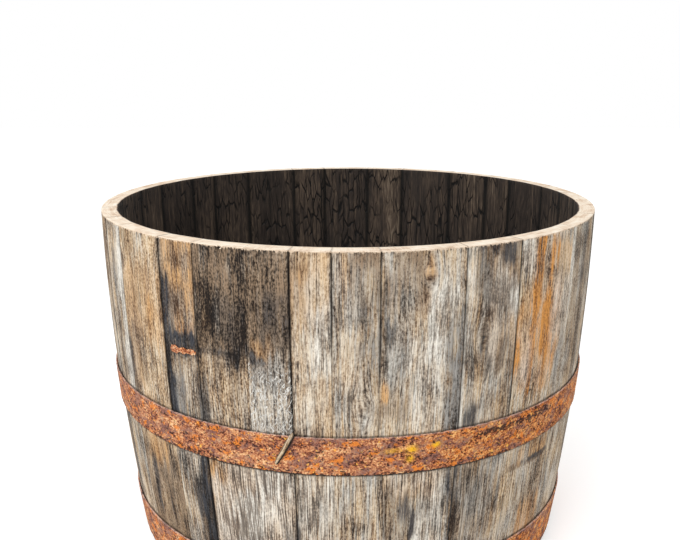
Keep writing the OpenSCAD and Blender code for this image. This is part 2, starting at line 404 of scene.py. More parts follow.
# %% [markdown]
# ## The stave tree
#
# The tree sweeps the section from one seam to the next. Where a point lies near a side it falls in
# by the seam's arris, and where it lies near the outer face it sinks by the wear: broad hollows with
# fine ridges on them. Small chips, which the saw tore out of the rim's outer edge, come last.

# %% Numbers of the stave tree
# A seam changes from its upper width to its lower one behind the upper hoop.
LOW_Z = 0.215
HIGH_Z = 0.255
SIDE_CROWDING = 0.5
# Wear is whole on the outer face and gone this deep in the wood.
WEAR_GONE = 0.009
WEAR_WHOLE = 0.0005
# Each noise: repeats per metre across and along, then detail
HOLLOWS = (22.0, 5.0, 2.0)
RIDGES = (190.0, 7.0, 3.0)
RIDGE_SHARE = 0.55
CHIPS = (260.0, 0.0, 2.0)
CHIP_RANGE = (0.56, 0.72)
CHIP_REACH = 0.004
STAVE_SIZES = ("From", "To", "Left arris", "Right arris", "Left low arris", "Right low arris",
               "Sunk", "Wear", "Rim chips", "Seed")


# %% Steps of the stave tree
def arris_drop(tree, distance, size):
    """How far a rounded arris of this size falls in, at a distance from the stave's side."""
    near = calc(tree, "DIVIDE", minus(tree, size, distance), size, clamp=True)
    flat = calc(tree, "SQRT", minus(tree, 1.0, times(tree, near, near)))
    return times(tree, size, minus(tree, 1.0, flat))


def crowd_to_ends(tree, factor, share):
    """Moves evenly spread columns towards both ends of a strip, for finer arrises."""
    wave = calc(tree, "COSINE", times(tree, factor, math.pi))
    crowded = calc(tree, "MULTIPLY_ADD", wave, -0.5, 0.5)
    return calc(tree, "MULTIPLY_ADD", minus(tree, crowded, factor), share, factor)


def grown_noise(tree, across, along, seed, scale_across, scale_along, detail):
    """Noise stretched along the board, from 0 to 1."""
    x = times(tree, across, scale_across)
    y = times(tree, along, scale_along)
    place = add_node(tree, "ShaderNodeCombineXYZ", {"X": x, "Y": y, "Z": seed}).outputs[0]
    inputs = {"Vector": place, "Scale": 1.0, "Detail": detail}
    return add_node(tree, "ShaderNodeTexNoise", inputs).outputs["Fac"]


def skin_radius(tree, height):
    """Radius of the outer face at a point's height."""
    drop = minus(tree, HEIGHT, height)
    chord = minus(tree, BEND_R**2, times(tree, drop, drop))
    return plus(tree, calc(tree, "SQRT", chord), RIM_R - BEND_R)


def side_drop(tree, given, angle, radius, height):
    """How far the arrises of both seams fall in at a point."""
    drops = []
    for side, start, end in (("Left", given["From"], angle), ("Right", angle, given["To"])):
        distance = times(tree, minus(tree, end, start), radius)
        arris = remap(tree, height, LOW_Z, HIGH_Z, given[f"{side} low arris"], given[f"{side} arris"])
        drops.append(arris_drop(tree, distance, arris))
    return plus(tree, *drops)


def outer_wear(tree, given, across, height):
    """Broad hollows and fine ridges."""
    broad = grown_noise(tree, across, height, given["Seed"], *HOLLOWS)
    ridges = grown_noise(tree, across, height, given["Seed"], *RIDGES)
    hollow = times(tree, broad, 1 - RIDGE_SHARE)
    return times(tree, calc(tree, "MULTIPLY_ADD", ridges, RIDGE_SHARE, hollow), given["Wear"])


def rim_chips(tree, given, across, height, depth):
    """Small chips along the rim's outer edge, at a point this deep under the outer face."""
    chip = remap(tree, grown_noise(tree, across, 0.0, given["Seed"], *CHIPS), *CHIP_RANGE)
    at_rim = remap(tree, minus(tree, HEIGHT, height), CHIP_REACH, 0.0)
    at_edge = times(tree, at_rim, remap(tree, depth, CHIP_REACH, 0.0))
    return times(tree, times(tree, chip, at_edge), given["Rim chips"])


# %% The stave tree
def make_stave_tree():
    """Sweeps the section between two seams, eases the arrises and wears the outer face."""
    tree, given = new_tree("Bent stave", STAVE_SIZES)
    mesh = sweep_section(tree, given["Geometry"], given["Columns"])
    share = crowd_to_ends(tree, recall(tree, "sweep"), SIDE_CROWDING)
    angle = remap(tree, share, 0.0, 1.0, given["From"], given["To"], smooth=False)
    radius = recall(tree, "ring_r")
    height = recall(tree, "ring_z")
    skin = skin_radius(tree, height)
    across = times(tree, angle, RIM_R)
    outside = remap(tree, minus(tree, skin, radius), WEAR_GONE, WEAR_WHOLE)
    inward = plus(tree, side_drop(tree, given, angle, radius, height),
                  outer_wear(tree, given, across, height))
    inward = plus(tree, inward, given["Sunk"])
    radius = minus(tree, radius, times(tree, inward, outside))
    fall = rim_chips(tree, given, across, height, minus(tree, skin, radius))
    radius = minus(tree, radius, fall)
    height = minus(tree, height, fall)
    finish_tree(tree, place_round_axis(tree, mesh, angle, radius, height), given["Material"])
    return tree


stave_tree = make_stave_tree()
print("nodes in the stave tree:", len(stave_tree.nodes))


# %% [markdown]
# ## Colours
#
# Colours are written as they look on screen, from 0 to 255, and are turned into the linear values
# that a shader works with. A finish is then a ramp through a few of them, driven by noise.


# %% Colour and shader helpers
DULL = 0.25  # specular level of old wood and rust
# A Mix node has sockets of one name for each kind of data, so its colour ones go by number.
MIX_FACTOR, MIX_LOW, MIX_HIGH, MIX_RESULT = 0, 6, 7, 2


def paint(red, green, blue):
    """A screen colour, 0 to 255, as linear RGBA."""
    shares = [c / 255 for c in (red, green, blue)]
    return [s / 12.92 if s <= 0.04045 else ((s + 0.055) / 1.055) ** 2.4 for s in shares] + [1.0]


def shades(*rows):
    """The stops of a ramp, from rows of place, red, green and blue."""
    return [(place, paint(*colour)) for place, *colour in rows]


def new_material(name):
    """An empty material with a Principled shader. Returns the material, its tree and the shader."""
    material = bpy.data.materials.new(name)
    material.use_nodes = True
    tree = material.node_tree
    shader = next(n for n in tree.nodes if n.type == "BSDF_PRINCIPLED")
    shader.inputs["Specular IOR Level"].default_value = DULL
    return material, tree, shader


def blend_colours(tree, factor, low, high):
    """Mixes two colours."""
    node = add_node(tree, "ShaderNodeMix", data_type="RGBA")
    for place, value in ((MIX_FACTOR, factor), (MIX_LOW, low), (MIX_HIGH, high)):
        plug_in(tree, value, node.inputs[place])
    return node.outputs[MIX_RESULT]


def ramp(tree, factor, stops):
    """A colour ramp through (place, colour) stops."""
    node = add_node(tree, "ShaderNodeValToRGB", {"Fac": factor})
    elements = node.color_ramp.elements
    while len(elements) < len(stops):
        elements.new(0.5)
    for element, (place, colour) in zip(elements, stops):
        element.position = place
        element.color = colour
    return node.outputs["Color"]


def read_float(tree, name):
    """A float stored on the piece."""
    return add_node(tree, "ShaderNodeAttribute", attribute_name=name).outputs["Fac"]


def split_vector(tree, name):
    """The three parts of a vector stored on the piece."""
    vector = add_node(tree, "ShaderNodeAttribute", attribute_name=name).outputs["Vector"]
    return add_node(tree, "ShaderNodeSeparateXYZ", {"Vector": vector}).outputs[:]


def noise(tree, place, scale_x, scale_y, detail=2, roughness=0.5):
    """Noise at a place of three coordinates, of which two are scaled. It is centred on 0."""
    x, y, z = place
    parts = {"X": times(tree, x, scale_x), "Y": times(tree, y, scale_y), "Z": z}
    vector = add_node(tree, "ShaderNodeCombineXYZ", parts).outputs[0]
    inputs = {"Vector": vector, "Scale": 1.0, "Detail": detail, "Roughness": roughness}
    value = add_node(tree, "ShaderNodeTexNoise", inputs).outputs[0]
    return minus(tree, value, 0.5)


def weigh(tree, start, *pairs):
    """start plus the sum of value times weight."""
    total = start
    for value, weight in pairs:
        total = calc(tree, "MULTIPLY_ADD", value, weight, total)
    return total


def mix_in(tree, start, made, weights):
    """start plus each named value times its weight."""
    return weigh(tree, start, *((made[name], weight) for name, weight in weights.items()))


def darkest(tree, *pairs):
    """The strongest of several masks, each times its strength."""
    dark = 0.0
    for mask, strength in pairs:
        dark = calc(tree, "MAXIMUM", dark, times(tree, mask, strength))
    return dark


def finish_shader(tree, shader, colour, roughness, height, depth):
    """Gives the shader its colour, its roughness and a bump of height, 0 to 1, over a depth in metres."""
    tree.links.new(colour, shader.inputs["Base Color"])
    plug_in(tree, roughness, shader.inputs["Roughness"])
    bump = add_node(tree, "ShaderNodeBump", {"Height": height, "Distance": depth, "Strength": 1.0})
    tree.links.new(bump.outputs["Normal"], shader.inputs["Normal"])


# %% [markdown]
# ## Weathered oak
#
# Oak left outside loses its soft early wood first. What stays is a bundle of fibres: pale ridges,
# dark furrows, both running the length of the stave, with grey where rain has washed it and tan
# where it hasn't. Noises stretched along the grain make fibres of about 1, 4 and 14 millimetres, a
# rounder one makes patches, and thin ridges of two more open drying checks and hairlines. The same
# fibres break up every stain, because a stain soaks in along the grain.

# %% Colours of weathered oak
GREY_OAK = shades((0.0, 38, 34, 32), (0.2, 94, 87, 80), (0.42, 146, 141, 133), (0.66, 190, 185, 176),
                  (1.0, 222, 216, 205))
TAN_OAK = shades((0.0, 48, 34, 25), (0.2, 110, 87, 66), (0.42, 170, 139, 106), (0.66, 212, 184, 147),
                 (1.0, 233, 215, 187))
# Each stain has a dark colour for its furrows and a light one for its ridges.
STAINS = {
    "umber": (paint(22, 16, 12), paint(150, 126, 102)),
    "ochre": (paint(122, 80, 44), paint(222, 176, 122)),
    "rust": (paint(126, 74, 32), paint(222, 154, 78)),
    "bleach": (paint(164, 156, 145), paint(245, 239, 227)),
    "soot": (paint(12, 10, 10), paint(88, 83, 81)),
    "ink": (paint(4, 4, 6), paint(68, 69, 74)),
    "slate": (paint(38, 37, 37), paint(164, 160, 154)),
    # Dirt and painted shade beside the seams, and painted shade on the splinter's shaded flank.
    "gap": (paint(7, 6, 6), paint(34, 29, 26)),
}
# How much more a stain takes on some fibres than on others
STAIN_HARSH = {"gap": 0.8, "bleach": 2.4, "rust": 4.6, "ink": 4.0, "soot": 3.8, "slate": 5.5}
USUAL_HARSH = 3.2

# %% [markdown]
# A noise has a size across the board, a size along it, and a detail and roughness of its own, so
# the noises are kept in one table. The tables of shares below it say how much of each noise goes
# into a stain's edge, the bright ridges and the bump.

# %% Noises of weathered oak
# Repeats per metre across and along, then detail and roughness where they aren't 2 and 0.5
OAK_NOISES = {
    "wander": (9, 4), "ripple": (80, 30), "short": (860, 84, 3, 0.68), "long": (780, 24, 3, 0.65),
    "middle": (270, 14, 3, 0.65), "broad": (70, 3.5, 3, 0.6), "patch": (26, 17, 3, 0.56),
    "grit": (560, 300, 2, 0.6), "hue": (360, 14), "hue patch": (14, 30, 3), "specks": (820, 240),
    "nicks": (330, 60), "swirl": (75, 48), "hairs": (320, 80),
}
FIBRE_SHARES = {"fine": 1.3, "middle": 0.8, "patch": 0.5}
RELIEF_SHARES = {"fine": 2.7, "middle": 0.4, "broad": 0.9, "grit": 1.25}
BUMP_SHARES = {"fine": 0.8, "middle": 0.6, "broad": 0.4, "check": -0.5, "hairs": 0.3}
OAK_BUMP = 0.0015
# Rain frets the fibres short towards the rim: heights, then the share of short fibres at each.
FRETTED = (0.19, 0.27, 0.12, 0.55)
LONG_STRENGTH = 1.2
# Each crack: repeats per metre across and along, then half the width of its noise band
CHECKS = (225.0, 6.5, 0.020)
HAIRLINES = (400.0, 11.0, 0.030)
OTHER_FIGURE = 0.7  # shift that gives the hairlines a figure of their own
# A crack breaks off where a second noise is low: its repeats as shares of the crack's own.
BREAKS_ACROSS = 0.24
BREAKS_ALONG = 2.6
# Middle and half width of each hoop's band
HOOP_BANDS = ((0.235, 0.0235), (0.045, 0.030))
# Painted shadow lines over and under each hoop: the distance from its edge where a line begins and where
# it is whole, then its strength at each.
LINE_OVER = (0.0022, 0.0004, 0.0, 0.45)
LINE_UNDER = (0.0046, 0.0014, 0.0, 0.95)


def soak(tree, mask, fibres, harsh):
    """A stain's mask, made stronger on some fibres than on others."""
    uneven = weigh(tree, 1.0, (fibres, harsh))
    return times(tree, mask, uneven, clamp=True)


def water_lines(tree, along):
    """Painted shadow against the hoops' edges: faint above a hoop, wide and dark below it, where the
    hoop's shadow falls.
    """
    lines = 0.0
    for middle, half in HOOP_BANDS:
        for edge, line in ((middle + half, LINE_OVER), (middle - half, LINE_UNDER)):
            away = calc(tree, "ABSOLUTE", minus(tree, along, edge))
            lines = calc(tree, "MAXIMUM", lines, remap(tree, away, *line))
    return lines


def cracked(tree, place, density, length, width):
    """Thin lines along the grain, where a noise crosses its middle value."""
    ridge = calc(tree, "ABSOLUTE", noise(tree, place, density, length, 1))
    breaks = noise(tree, place, density * BREAKS_ACROSS, length * BREAKS_ALONG)
    return times(tree, remap(tree, ridge, width, width * 0.15), remap(tree, breaks, -0.03, 0.06))


def loose_fibres(tree, place):
    """Pale hairs that have lifted and curled."""
    across, along, board = place
    swirl = noise(tree, place, *OAK_NOISES["swirl"])
    curled = (weigh(tree, across, (swirl, 0.022)), weigh(tree, along, (swirl, 0.030)), board)
    hairs = noise(tree, curled, *OAK_NOISES["hairs"])
    return remap(tree, calc(tree, "ABSOLUTE", hairs), 0.042, 0.008)


def oak_figure(tree, place):
    """Every noise that the wood is made of, by name, and the fine fibres that two of them make."""
    names = ("short", "long", "middle", "broad", "patch", "grit")
    made = {name: noise(tree, place, *OAK_NOISES[name]) for name in names}
    fretted = remap(tree, place[1], *FRETTED)
    kept = times(tree, minus(tree, 1.0, fretted), LONG_STRENGTH)
    long = times(tree, made["long"], kept)
    made["fine"] = calc(tree, "MULTIPLY_ADD", made["short"], fretted, long)
    return made


def oak_wood(tree, place, value):
    """The clean wood's colour: grey or tan by a fibre's own hue, the patch it is in and the stave."""
    across, along, board = place
    hue = noise(tree, place, *OAK_NOISES["hue"])
    # The patches lie the other way, from one stave's side to its other.
    hue_patch = noise(tree, (along, across, board), *OAK_NOISES["hue patch"])
    warm = weigh(tree, 0.45, (hue, 2.2), (hue_patch, 2.2))
    warm = plus(tree, warm, read_float(tree, "warmth"), clamp=True)
    return blend_colours(tree, warm, ramp(tree, value, GREY_OAK), ramp(tree, value, TAN_OAK))


def oak_dirt(tree, place, check):
    """Checks, hairlines, specks and, where the saw frayed the fibres below the rim, dirty nicks."""
    across, along, board = place
    hairline = cracked(tree, (across, along, plus(tree, board, OTHER_FIGURE)), *HAIRLINES)
    specks = remap(tree, noise(tree, place, *OAK_NOISES["specks"]), 0.14, 0.23)
    nicks = remap(tree, noise(tree, place, *OAK_NOISES["nicks"]), 0.04, 0.13)
    nicks = times(tree, nicks, remap(tree, along, HEIGHT - 0.0075, HEIGHT - 0.0015))
    return darkest(tree, (check, 0.7), (specks, 0.6), (hairline, 0.55), (nicks, 0.8))


def stain_oak(tree, colour, value, fibres):
    """Lays every stain over the wood, and the dirt and painted shade laid like a stain. A stain keeps the
    fibres' contrast, though it is dark.
    """
    sharp = calc(tree, "MULTIPLY_ADD", value, 1.7, -0.36, clamp=True)
    for name, (furrow, ridge) in STAINS.items():
        mask = soak(tree, read_float(tree, name), fibres, STAIN_HARSH.get(name, USUAL_HARSH))
        colour = blend_colours(tree, mask, colour, blend_colours(tree, sharp, furrow, ridge))
    return colour


def edge_oak(tree, colour, place, made, fibres, hairs):
    """The frayed arris at the rim, painted shadow along the hoops' edges, lifted hairs and painted shade
    on the wood inside a seam.
    """
    along = place[1]
    uneven = weigh(tree, along, (made["grit"], 0.006), (made["middle"], 0.003))
    frayed = times(tree, remap(tree, uneven, HEIGHT - 0.0020, HEIGHT - 0.0010), 0.75)
    # Painted shadow along the hoops' edges, near black.
    lines = soak(tree, water_lines(tree, along), fibres, 1.2)
    # Painted shade: the wood goes near black where it lies deeper than the outer face, inside a seam.
    seam_shade = remap(tree, read_float(tree, "depth"), 0.0012, 0.004)
    layers = ((frayed, paint(226, 202, 176)), (lines, paint(22, 18, 17)),
              (hairs, paint(232, 229, 222)), (seam_shade, paint(22, 18, 16)))
    for mask, layer in layers:
        colour = blend_colours(tree, mask, colour, layer)
    return colour


# %% The weathered oak
def make_weathered_oak():
    """Grey and tan fibres, drying checks, stains and dirt in the seams."""
    material, tree, shader = new_material("Weathered oak")
    straight = split_vector(tree, "grain")
    wander = noise(tree, straight, *OAK_NOISES["wander"])
    ripple = noise(tree, straight, *OAK_NOISES["ripple"])
    place = (weigh(tree, straight[0], (wander, 0.012), (ripple, 0.0016)), *straight[1:])
    made = oak_figure(tree, place)
    made["check"] = cracked(tree, place, *CHECKS)
    made["hairs"] = times(tree, loose_fibres(tree, straight), read_float(tree, "fuzz"))
    fibres = mix_in(tree, 0.0, made, FIBRE_SHARES)
    relief = times(tree, mix_in(tree, 0.0, made, RELIEF_SHARES), read_float(tree, "relief"))
    value = weigh(tree, 0.5, (relief, 1.0), (made["patch"], 1.35), (read_float(tree, "tone"), 1.0))
    colour = oak_wood(tree, place, value)
    colour = blend_colours(tree, oak_dirt(tree, place, made["check"]), colour, paint(50, 42, 37))
    colour = stain_oak(tree, colour, value, fibres)
    colour = edge_oak(tree, colour, place, made, fibres, made["hairs"])
    roughness = remap(tree, value, 0.2, 0.9, 0.95, 0.74)
    finish_shader(tree, shader, colour, roughness, mix_in(tree, 0.5, made, BUMP_SHARES), OAK_BUMP)
    return material


weathered_oak = make_weathered_oak()
print("nodes in weathered oak:", len(weathered_oak.node_tree.nodes))

# %% [markdown]
# ## Sawn oak
#
# The cask was sawn in two much later than it was built, so the cut is the youngest surface: pale,
# a little pink, with the end grain showing. Growth rings cross the cut as fine lines, rays run
# through them, and the blade has left scratches. The foot is end grain too, but it has stood in
# the wet.


# %% Sawn oak
# Repeats per metre across the stave and into it, then detail and roughness where they aren't 2 and 0.5
CUT_NOISES = {
    "bend": (26, 60), "rings": (18, 620), "rays": (520, 70), "blotch": (45, 70, 3),
    "scratch": (900, 30),
}
CUT_SHARES = {"rings": 0.7, "rays": 0.45, "blotch": 1.1, "scratch": 0.25}
CUT_BUMP_SHARES = {"rings": 0.5, "rays": 0.5, "scratch": 0.5}
CUT_BUMP = 0.0006
CUT_ROUGHNESS = 0.82


def dirty_edges(tree, depth, blotch):
    """Dirt on both edges of a cut, and dirt and painted shade beside its seams."""
    uneven = weigh(tree, depth, (blotch, 0.004))
    outer = remap(tree, uneven, 0.0012, 0.0001)
    inner = remap(tree, uneven, STAVE_T - 0.0022, STAVE_T - 0.0004)
    return darkest(tree, (outer, 0.55), (inner, 1.0), (read_float(tree, "gap"), 0.45))


def make_end_grain(name, stops, dirt):
    """End grain: rings across the stave's thickness, rays, saw scratches and dirt at the edges."""
    material, tree, shader = new_material(name)
    across, _, board = split_vector(tree, "grain")
    depth = read_float(tree, "depth")
    place = (across, depth, board)
    bent = weigh(tree, depth, (noise(tree, place, *CUT_NOISES["bend"]), 0.012))
    made = {kind: noise(tree, place, *CUT_NOISES[kind]) for kind in ("rays", "blotch", "scratch")}
    made["rings"] = noise(tree, (across, bent, board), *CUT_NOISES["rings"])
    colour = ramp(tree, mix_in(tree, 0.56, made, CUT_SHARES), stops)
    colour = blend_colours(tree, dirty_edges(tree, depth, made["blotch"]), colour, dirt)
    height = mix_in(tree, 0.5, made, CUT_BUMP_SHARES)
    finish_shader(tree, shader, colour, CUT_ROUGHNESS, height, CUT_BUMP)
    return material


FRESH_CUT = shades((0.0, 163, 130, 105), (0.3, 215, 186, 159), (0.55, 243, 224, 201),
                   (0.8, 252, 241, 223), (1.0, 255, 252, 243))
OLD_CUT = shades((0.0, 52, 42, 34), (0.35, 98, 82, 66), (0.6, 134, 115, 94), (1.0, 176, 156, 130))
sawn_oak = make_end_grain("Sawn oak rim", FRESH_CUT, paint(70, 48, 36))
foot_oak = make_end_grain("End grain at the foot", OLD_CUT, paint(40, 32, 27))

# %% [markdown]
# ## Charred oak
#
# A cask is toasted or charred over a fire before it is filled. Char shrinks as it forms, so it
# cracks into small blocks, longer along the grain. A Voronoi pattern gives the distance to the
# nearest crack, which darkens and sinks the surface. Char crumbles first at the joints, which read
# as dark lines, and no two boards took the fire alike.


# %% Charred oak
# Repeats per metre across the board and along it, then detail and roughness where they aren't 2 and 0.5
CHAR_NOISES = {
    "wobble": (70, 34, 3), "uneven": (30, 18), "grit": (520, 60, 3), "streaks": (190, 7, 3, 0.6),
    "patch": (14, 5, 3),
}
CHAR_SHARES = {"grit": 0.9, "streaks": 1.1, "patch": 1.1, "own": 0.10}
CHAR_BUMP_SHARES = {"grit": 0.35, "streaks": 0.4, "crack": -0.45}
CHAR_BUMP = 0.0020
CHAR_COLOURS = shades((0.0, 28, 24, 22), (0.45, 58, 49, 43), (0.75, 92, 78, 66), (1.0, 134, 118, 101))
BLOCKS_ACROSS = 120.0
BLOCKS_ALONG = 24.0
OWN_STEP = 7.3  # a sine of the board's number times this stands for chance
JOINT_STRENGTH = 0.92


def char_cracks(tree, place, made):
    """Cracks round the blocks of char, open in some places and closed in others."""
    across, along, board = place
    x = times(tree, weigh(tree, across, (made["wobble"], 0.008)), BLOCKS_ACROSS)
    y = times(tree, weigh(tree, along, (made["wobble"], 0.030)), BLOCKS_ALONG)
    spot = add_node(tree, "ShaderNodeCombineXYZ", {"X": x, "Y": y, "Z": board}).outputs[0]
    inputs = {"Vector": spot, "Scale": 1.0}
    blocks = add_node(tree, "ShaderNodeTexVoronoi", inputs, feature="DISTANCE_TO_EDGE")
    crack = remap(tree, blocks.outputs["Distance"], 0.085, 0.01)
    return times(tree, crack, remap(tree, made["uneven"], -0.14, 0.06))


def make_charred_oak():
    """Black-brown char in cracked blocks, with a little ash on the high spots."""
    material, tree, shader = new_material("Charred oak")
    place = split_vector(tree, "grain")
    made = {name: noise(tree, place, *CHAR_NOISES[name]) for name in CHAR_NOISES}
    made["crack"] = char_cracks(tree, place, made)
    made["own"] = calc(tree, "SINE", times(tree, place[2], OWN_STEP))
    value = mix_in(tree, 0.50, made, CHAR_SHARES)
    colour = blend_colours(tree, made["crack"], ramp(tree, value, CHAR_COLOURS), paint(14, 12, 11))
    joint = times(tree, read_float(tree, "joint"), JOINT_STRENGTH)
    colour = blend_colours(tree, joint, colour, paint(8, 7, 6))
    roughness = remap(tree, value, 0.2, 0.8, 0.62, 0.9)
    finish_shader(tree, shader, colour, roughness, mix_in(tree, 0.6, made, CHAR_BUMP_SHARES), CHAR_BUMP)
    return material


charred_oak = make_charred_oak()

# %% [markdown]
# ## Rust
#
# Hoop steel that is never painted grows a scale of rust in layers: brown-black where old scale has
# flaked off, red-brown over most of it, fresh orange in the flecks between. Pits are thresholds of
# fine noise, which darken and sink the surface together. The strip's own coordinates, along the
# hoop and up it, carry the pattern round the cask without a seam.


# %% Colours of rust
SCALE = shades((0.0, 34, 18, 15), (0.2, 98, 50, 34), (0.42, 162, 96, 66), (0.62, 192, 126, 88),
               (0.82, 216, 148, 96), (1.0, 242, 196, 146))
AMBER_SCALE = shades((0.0, 36, 18, 12), (0.2, 104, 50, 26), (0.42, 176, 98, 50), (0.62, 208, 128, 68),
                     (1.0, 248, 186, 110))
FRESH_SCALE = shades((0.0, 64, 30, 18), (0.35, 168, 92, 54), (0.6, 214, 140, 92), (1.0, 242, 198, 158))

# %% Noises of rust
# Repeats per metre along the strip and up it, then detail and roughness where they aren't 2 and 0.5
RUST_NOISES = {
    "cloud": (20, 30, 3, 0.6), "crusts": (62, 80, 4, 0.65), "scale": (165, 190, 4, 0.7),
    "grit": (400, 440, 3, 0.65), "mauve": (48, 66, 5, 0.7), "fleck": (84, 66, 4, 0.66),
    "bright": (230, 200, 4), "pit": (270, 300, 4, 0.65),
}
RUST_SHARES = {"cloud": 0.9, "crusts": 1.7, "scale": 1.9, "grit": 2.6}
RUST_BUMP_SHARES = {"scale": 0.8, "grit": 0.5, "pit": -0.45}
RUST_BUMP = 0.0011
# Shifts that give two of the noises a pattern of their own
BRIGHT_SHIFT = 1.9
PIT_SHIFT = 3.7


def rust_flecks(tree, colour, place, made):
    """Mauve stains, orange flecks and, on the thickest scale, a few bright grains."""
    run, rise, batch = place
    mauve = remap(tree, noise(tree, place, *RUST_NOISES["mauve"]), -0.02, 0.08)
    mauve = soak(tree, times(tree, mauve, 0.6), made["grit"], 5.0)
    colour = blend_colours(tree, mauve, colour, paint(132, 98, 92))
    # Flecks read the strip the other way round, so they don't follow the scale.
    fleck = remap(tree, noise(tree, (rise, run, batch), *RUST_NOISES["fleck"]), 0.05, 0.12)
    rough = plus(tree, made["grit"], made["scale"])
    fleck = soak(tree, times(tree, fleck, 0.85), rough, 4.0)
    colour = blend_colours(tree, fleck, colour, paint(228, 132, 50))
    shifted = (rise, run, plus(tree, batch, BRIGHT_SHIFT))
    bright = remap(tree, noise(tree, shifted, *RUST_NOISES["bright"]), 0.14, 0.19)
    return blend_colours(tree, times(tree, bright, 0.9), colour, paint(250, 186, 84))


def rust_pits(tree, place):
    """Pits, more of them where the piece is marked as pitted."""
    run, rise, batch = place
    shifted = (run, rise, plus(tree, batch, PIT_SHIFT))
    more = times(tree, read_float(tree, "pitted"), 0.2)
    pitted = plus(tree, noise(tree, shifted, *RUST_NOISES["pit"]), more)
    return remap(tree, pitted, 0.080, 0.130)


# %% The rust
def make_rust(name, lift=0.0, orange=0.0):
    """Layered rust with flecks, pits and a painted highlight. lift makes it brighter, orange turns it to
    fresh scale.
    """
    material, tree, shader = new_material(name)
    place = split_vector(tree, "strip")
    made = {kind: noise(tree, place, *RUST_NOISES[kind]) for kind in RUST_SHARES}
    value = mix_in(tree, 0.57 + lift, made, RUST_SHARES)
    amber = soak(tree, read_float(tree, "amber"), made["crusts"], 2.0)
    colour = blend_colours(tree, amber, ramp(tree, value, SCALE), ramp(tree, value, AMBER_SCALE))
    colour = rust_flecks(tree, colour, place, made)
    colour = blend_colours(tree, orange, colour, ramp(tree, value, FRESH_SCALE))
    glow = soak(tree, read_float(tree, "fresh"), made["scale"], 5.0)
    colour = blend_colours(tree, glow, colour, paint(246, 186, 40))
    made["pit"] = rust_pits(tree, place)
    colour = blend_colours(tree, times(tree, made["pit"], 0.9), colour, paint(42, 22, 19))
    # Painted highlight: a pale line where a piece is marked, along a hoop's upper edge, and a faint pale
    # rub on the rivets, broken up by the scale.
    patchiness = weigh(tree, 0.75, (made["scale"], 3.0))
    rub_highlight_mask = times(tree, read_float(tree, "rub_and_highlight"), patchiness, clamp=True)
    colour = blend_colours(tree, rub_highlight_mask, colour, paint(214, 186, 176))
    roughness = remap(tree, value, 0.2, 0.9, 0.9, 0.68)
    finish_shader(tree, shader, colour, roughness, mix_in(tree, 0.6, made, RUST_BUMP_SHARES), RUST_BUMP)
    return material


hoop_rust = make_rust("Scaly rust")
crust_rust = make_rust("Loose rust crust", 0.06, 0.75)
print("materials:", len(bpy.data.materials))

# %% [markdown]
# ## Where the marks are
#
# The marks are what makes this barrel this one. Each row below is one mark on one stave: where it
# starts and ends across the stave in per cent (0 is its left side, 100 its right), how many
# millimetres below the rim it starts and ends, and its strength in per cent. The edges of a mark are
# soft, except where it stops at the stave's own side, because stains don't cross an open seam. The
# staves that nobody photographs get marks of the same kinds, from a fixed seed.

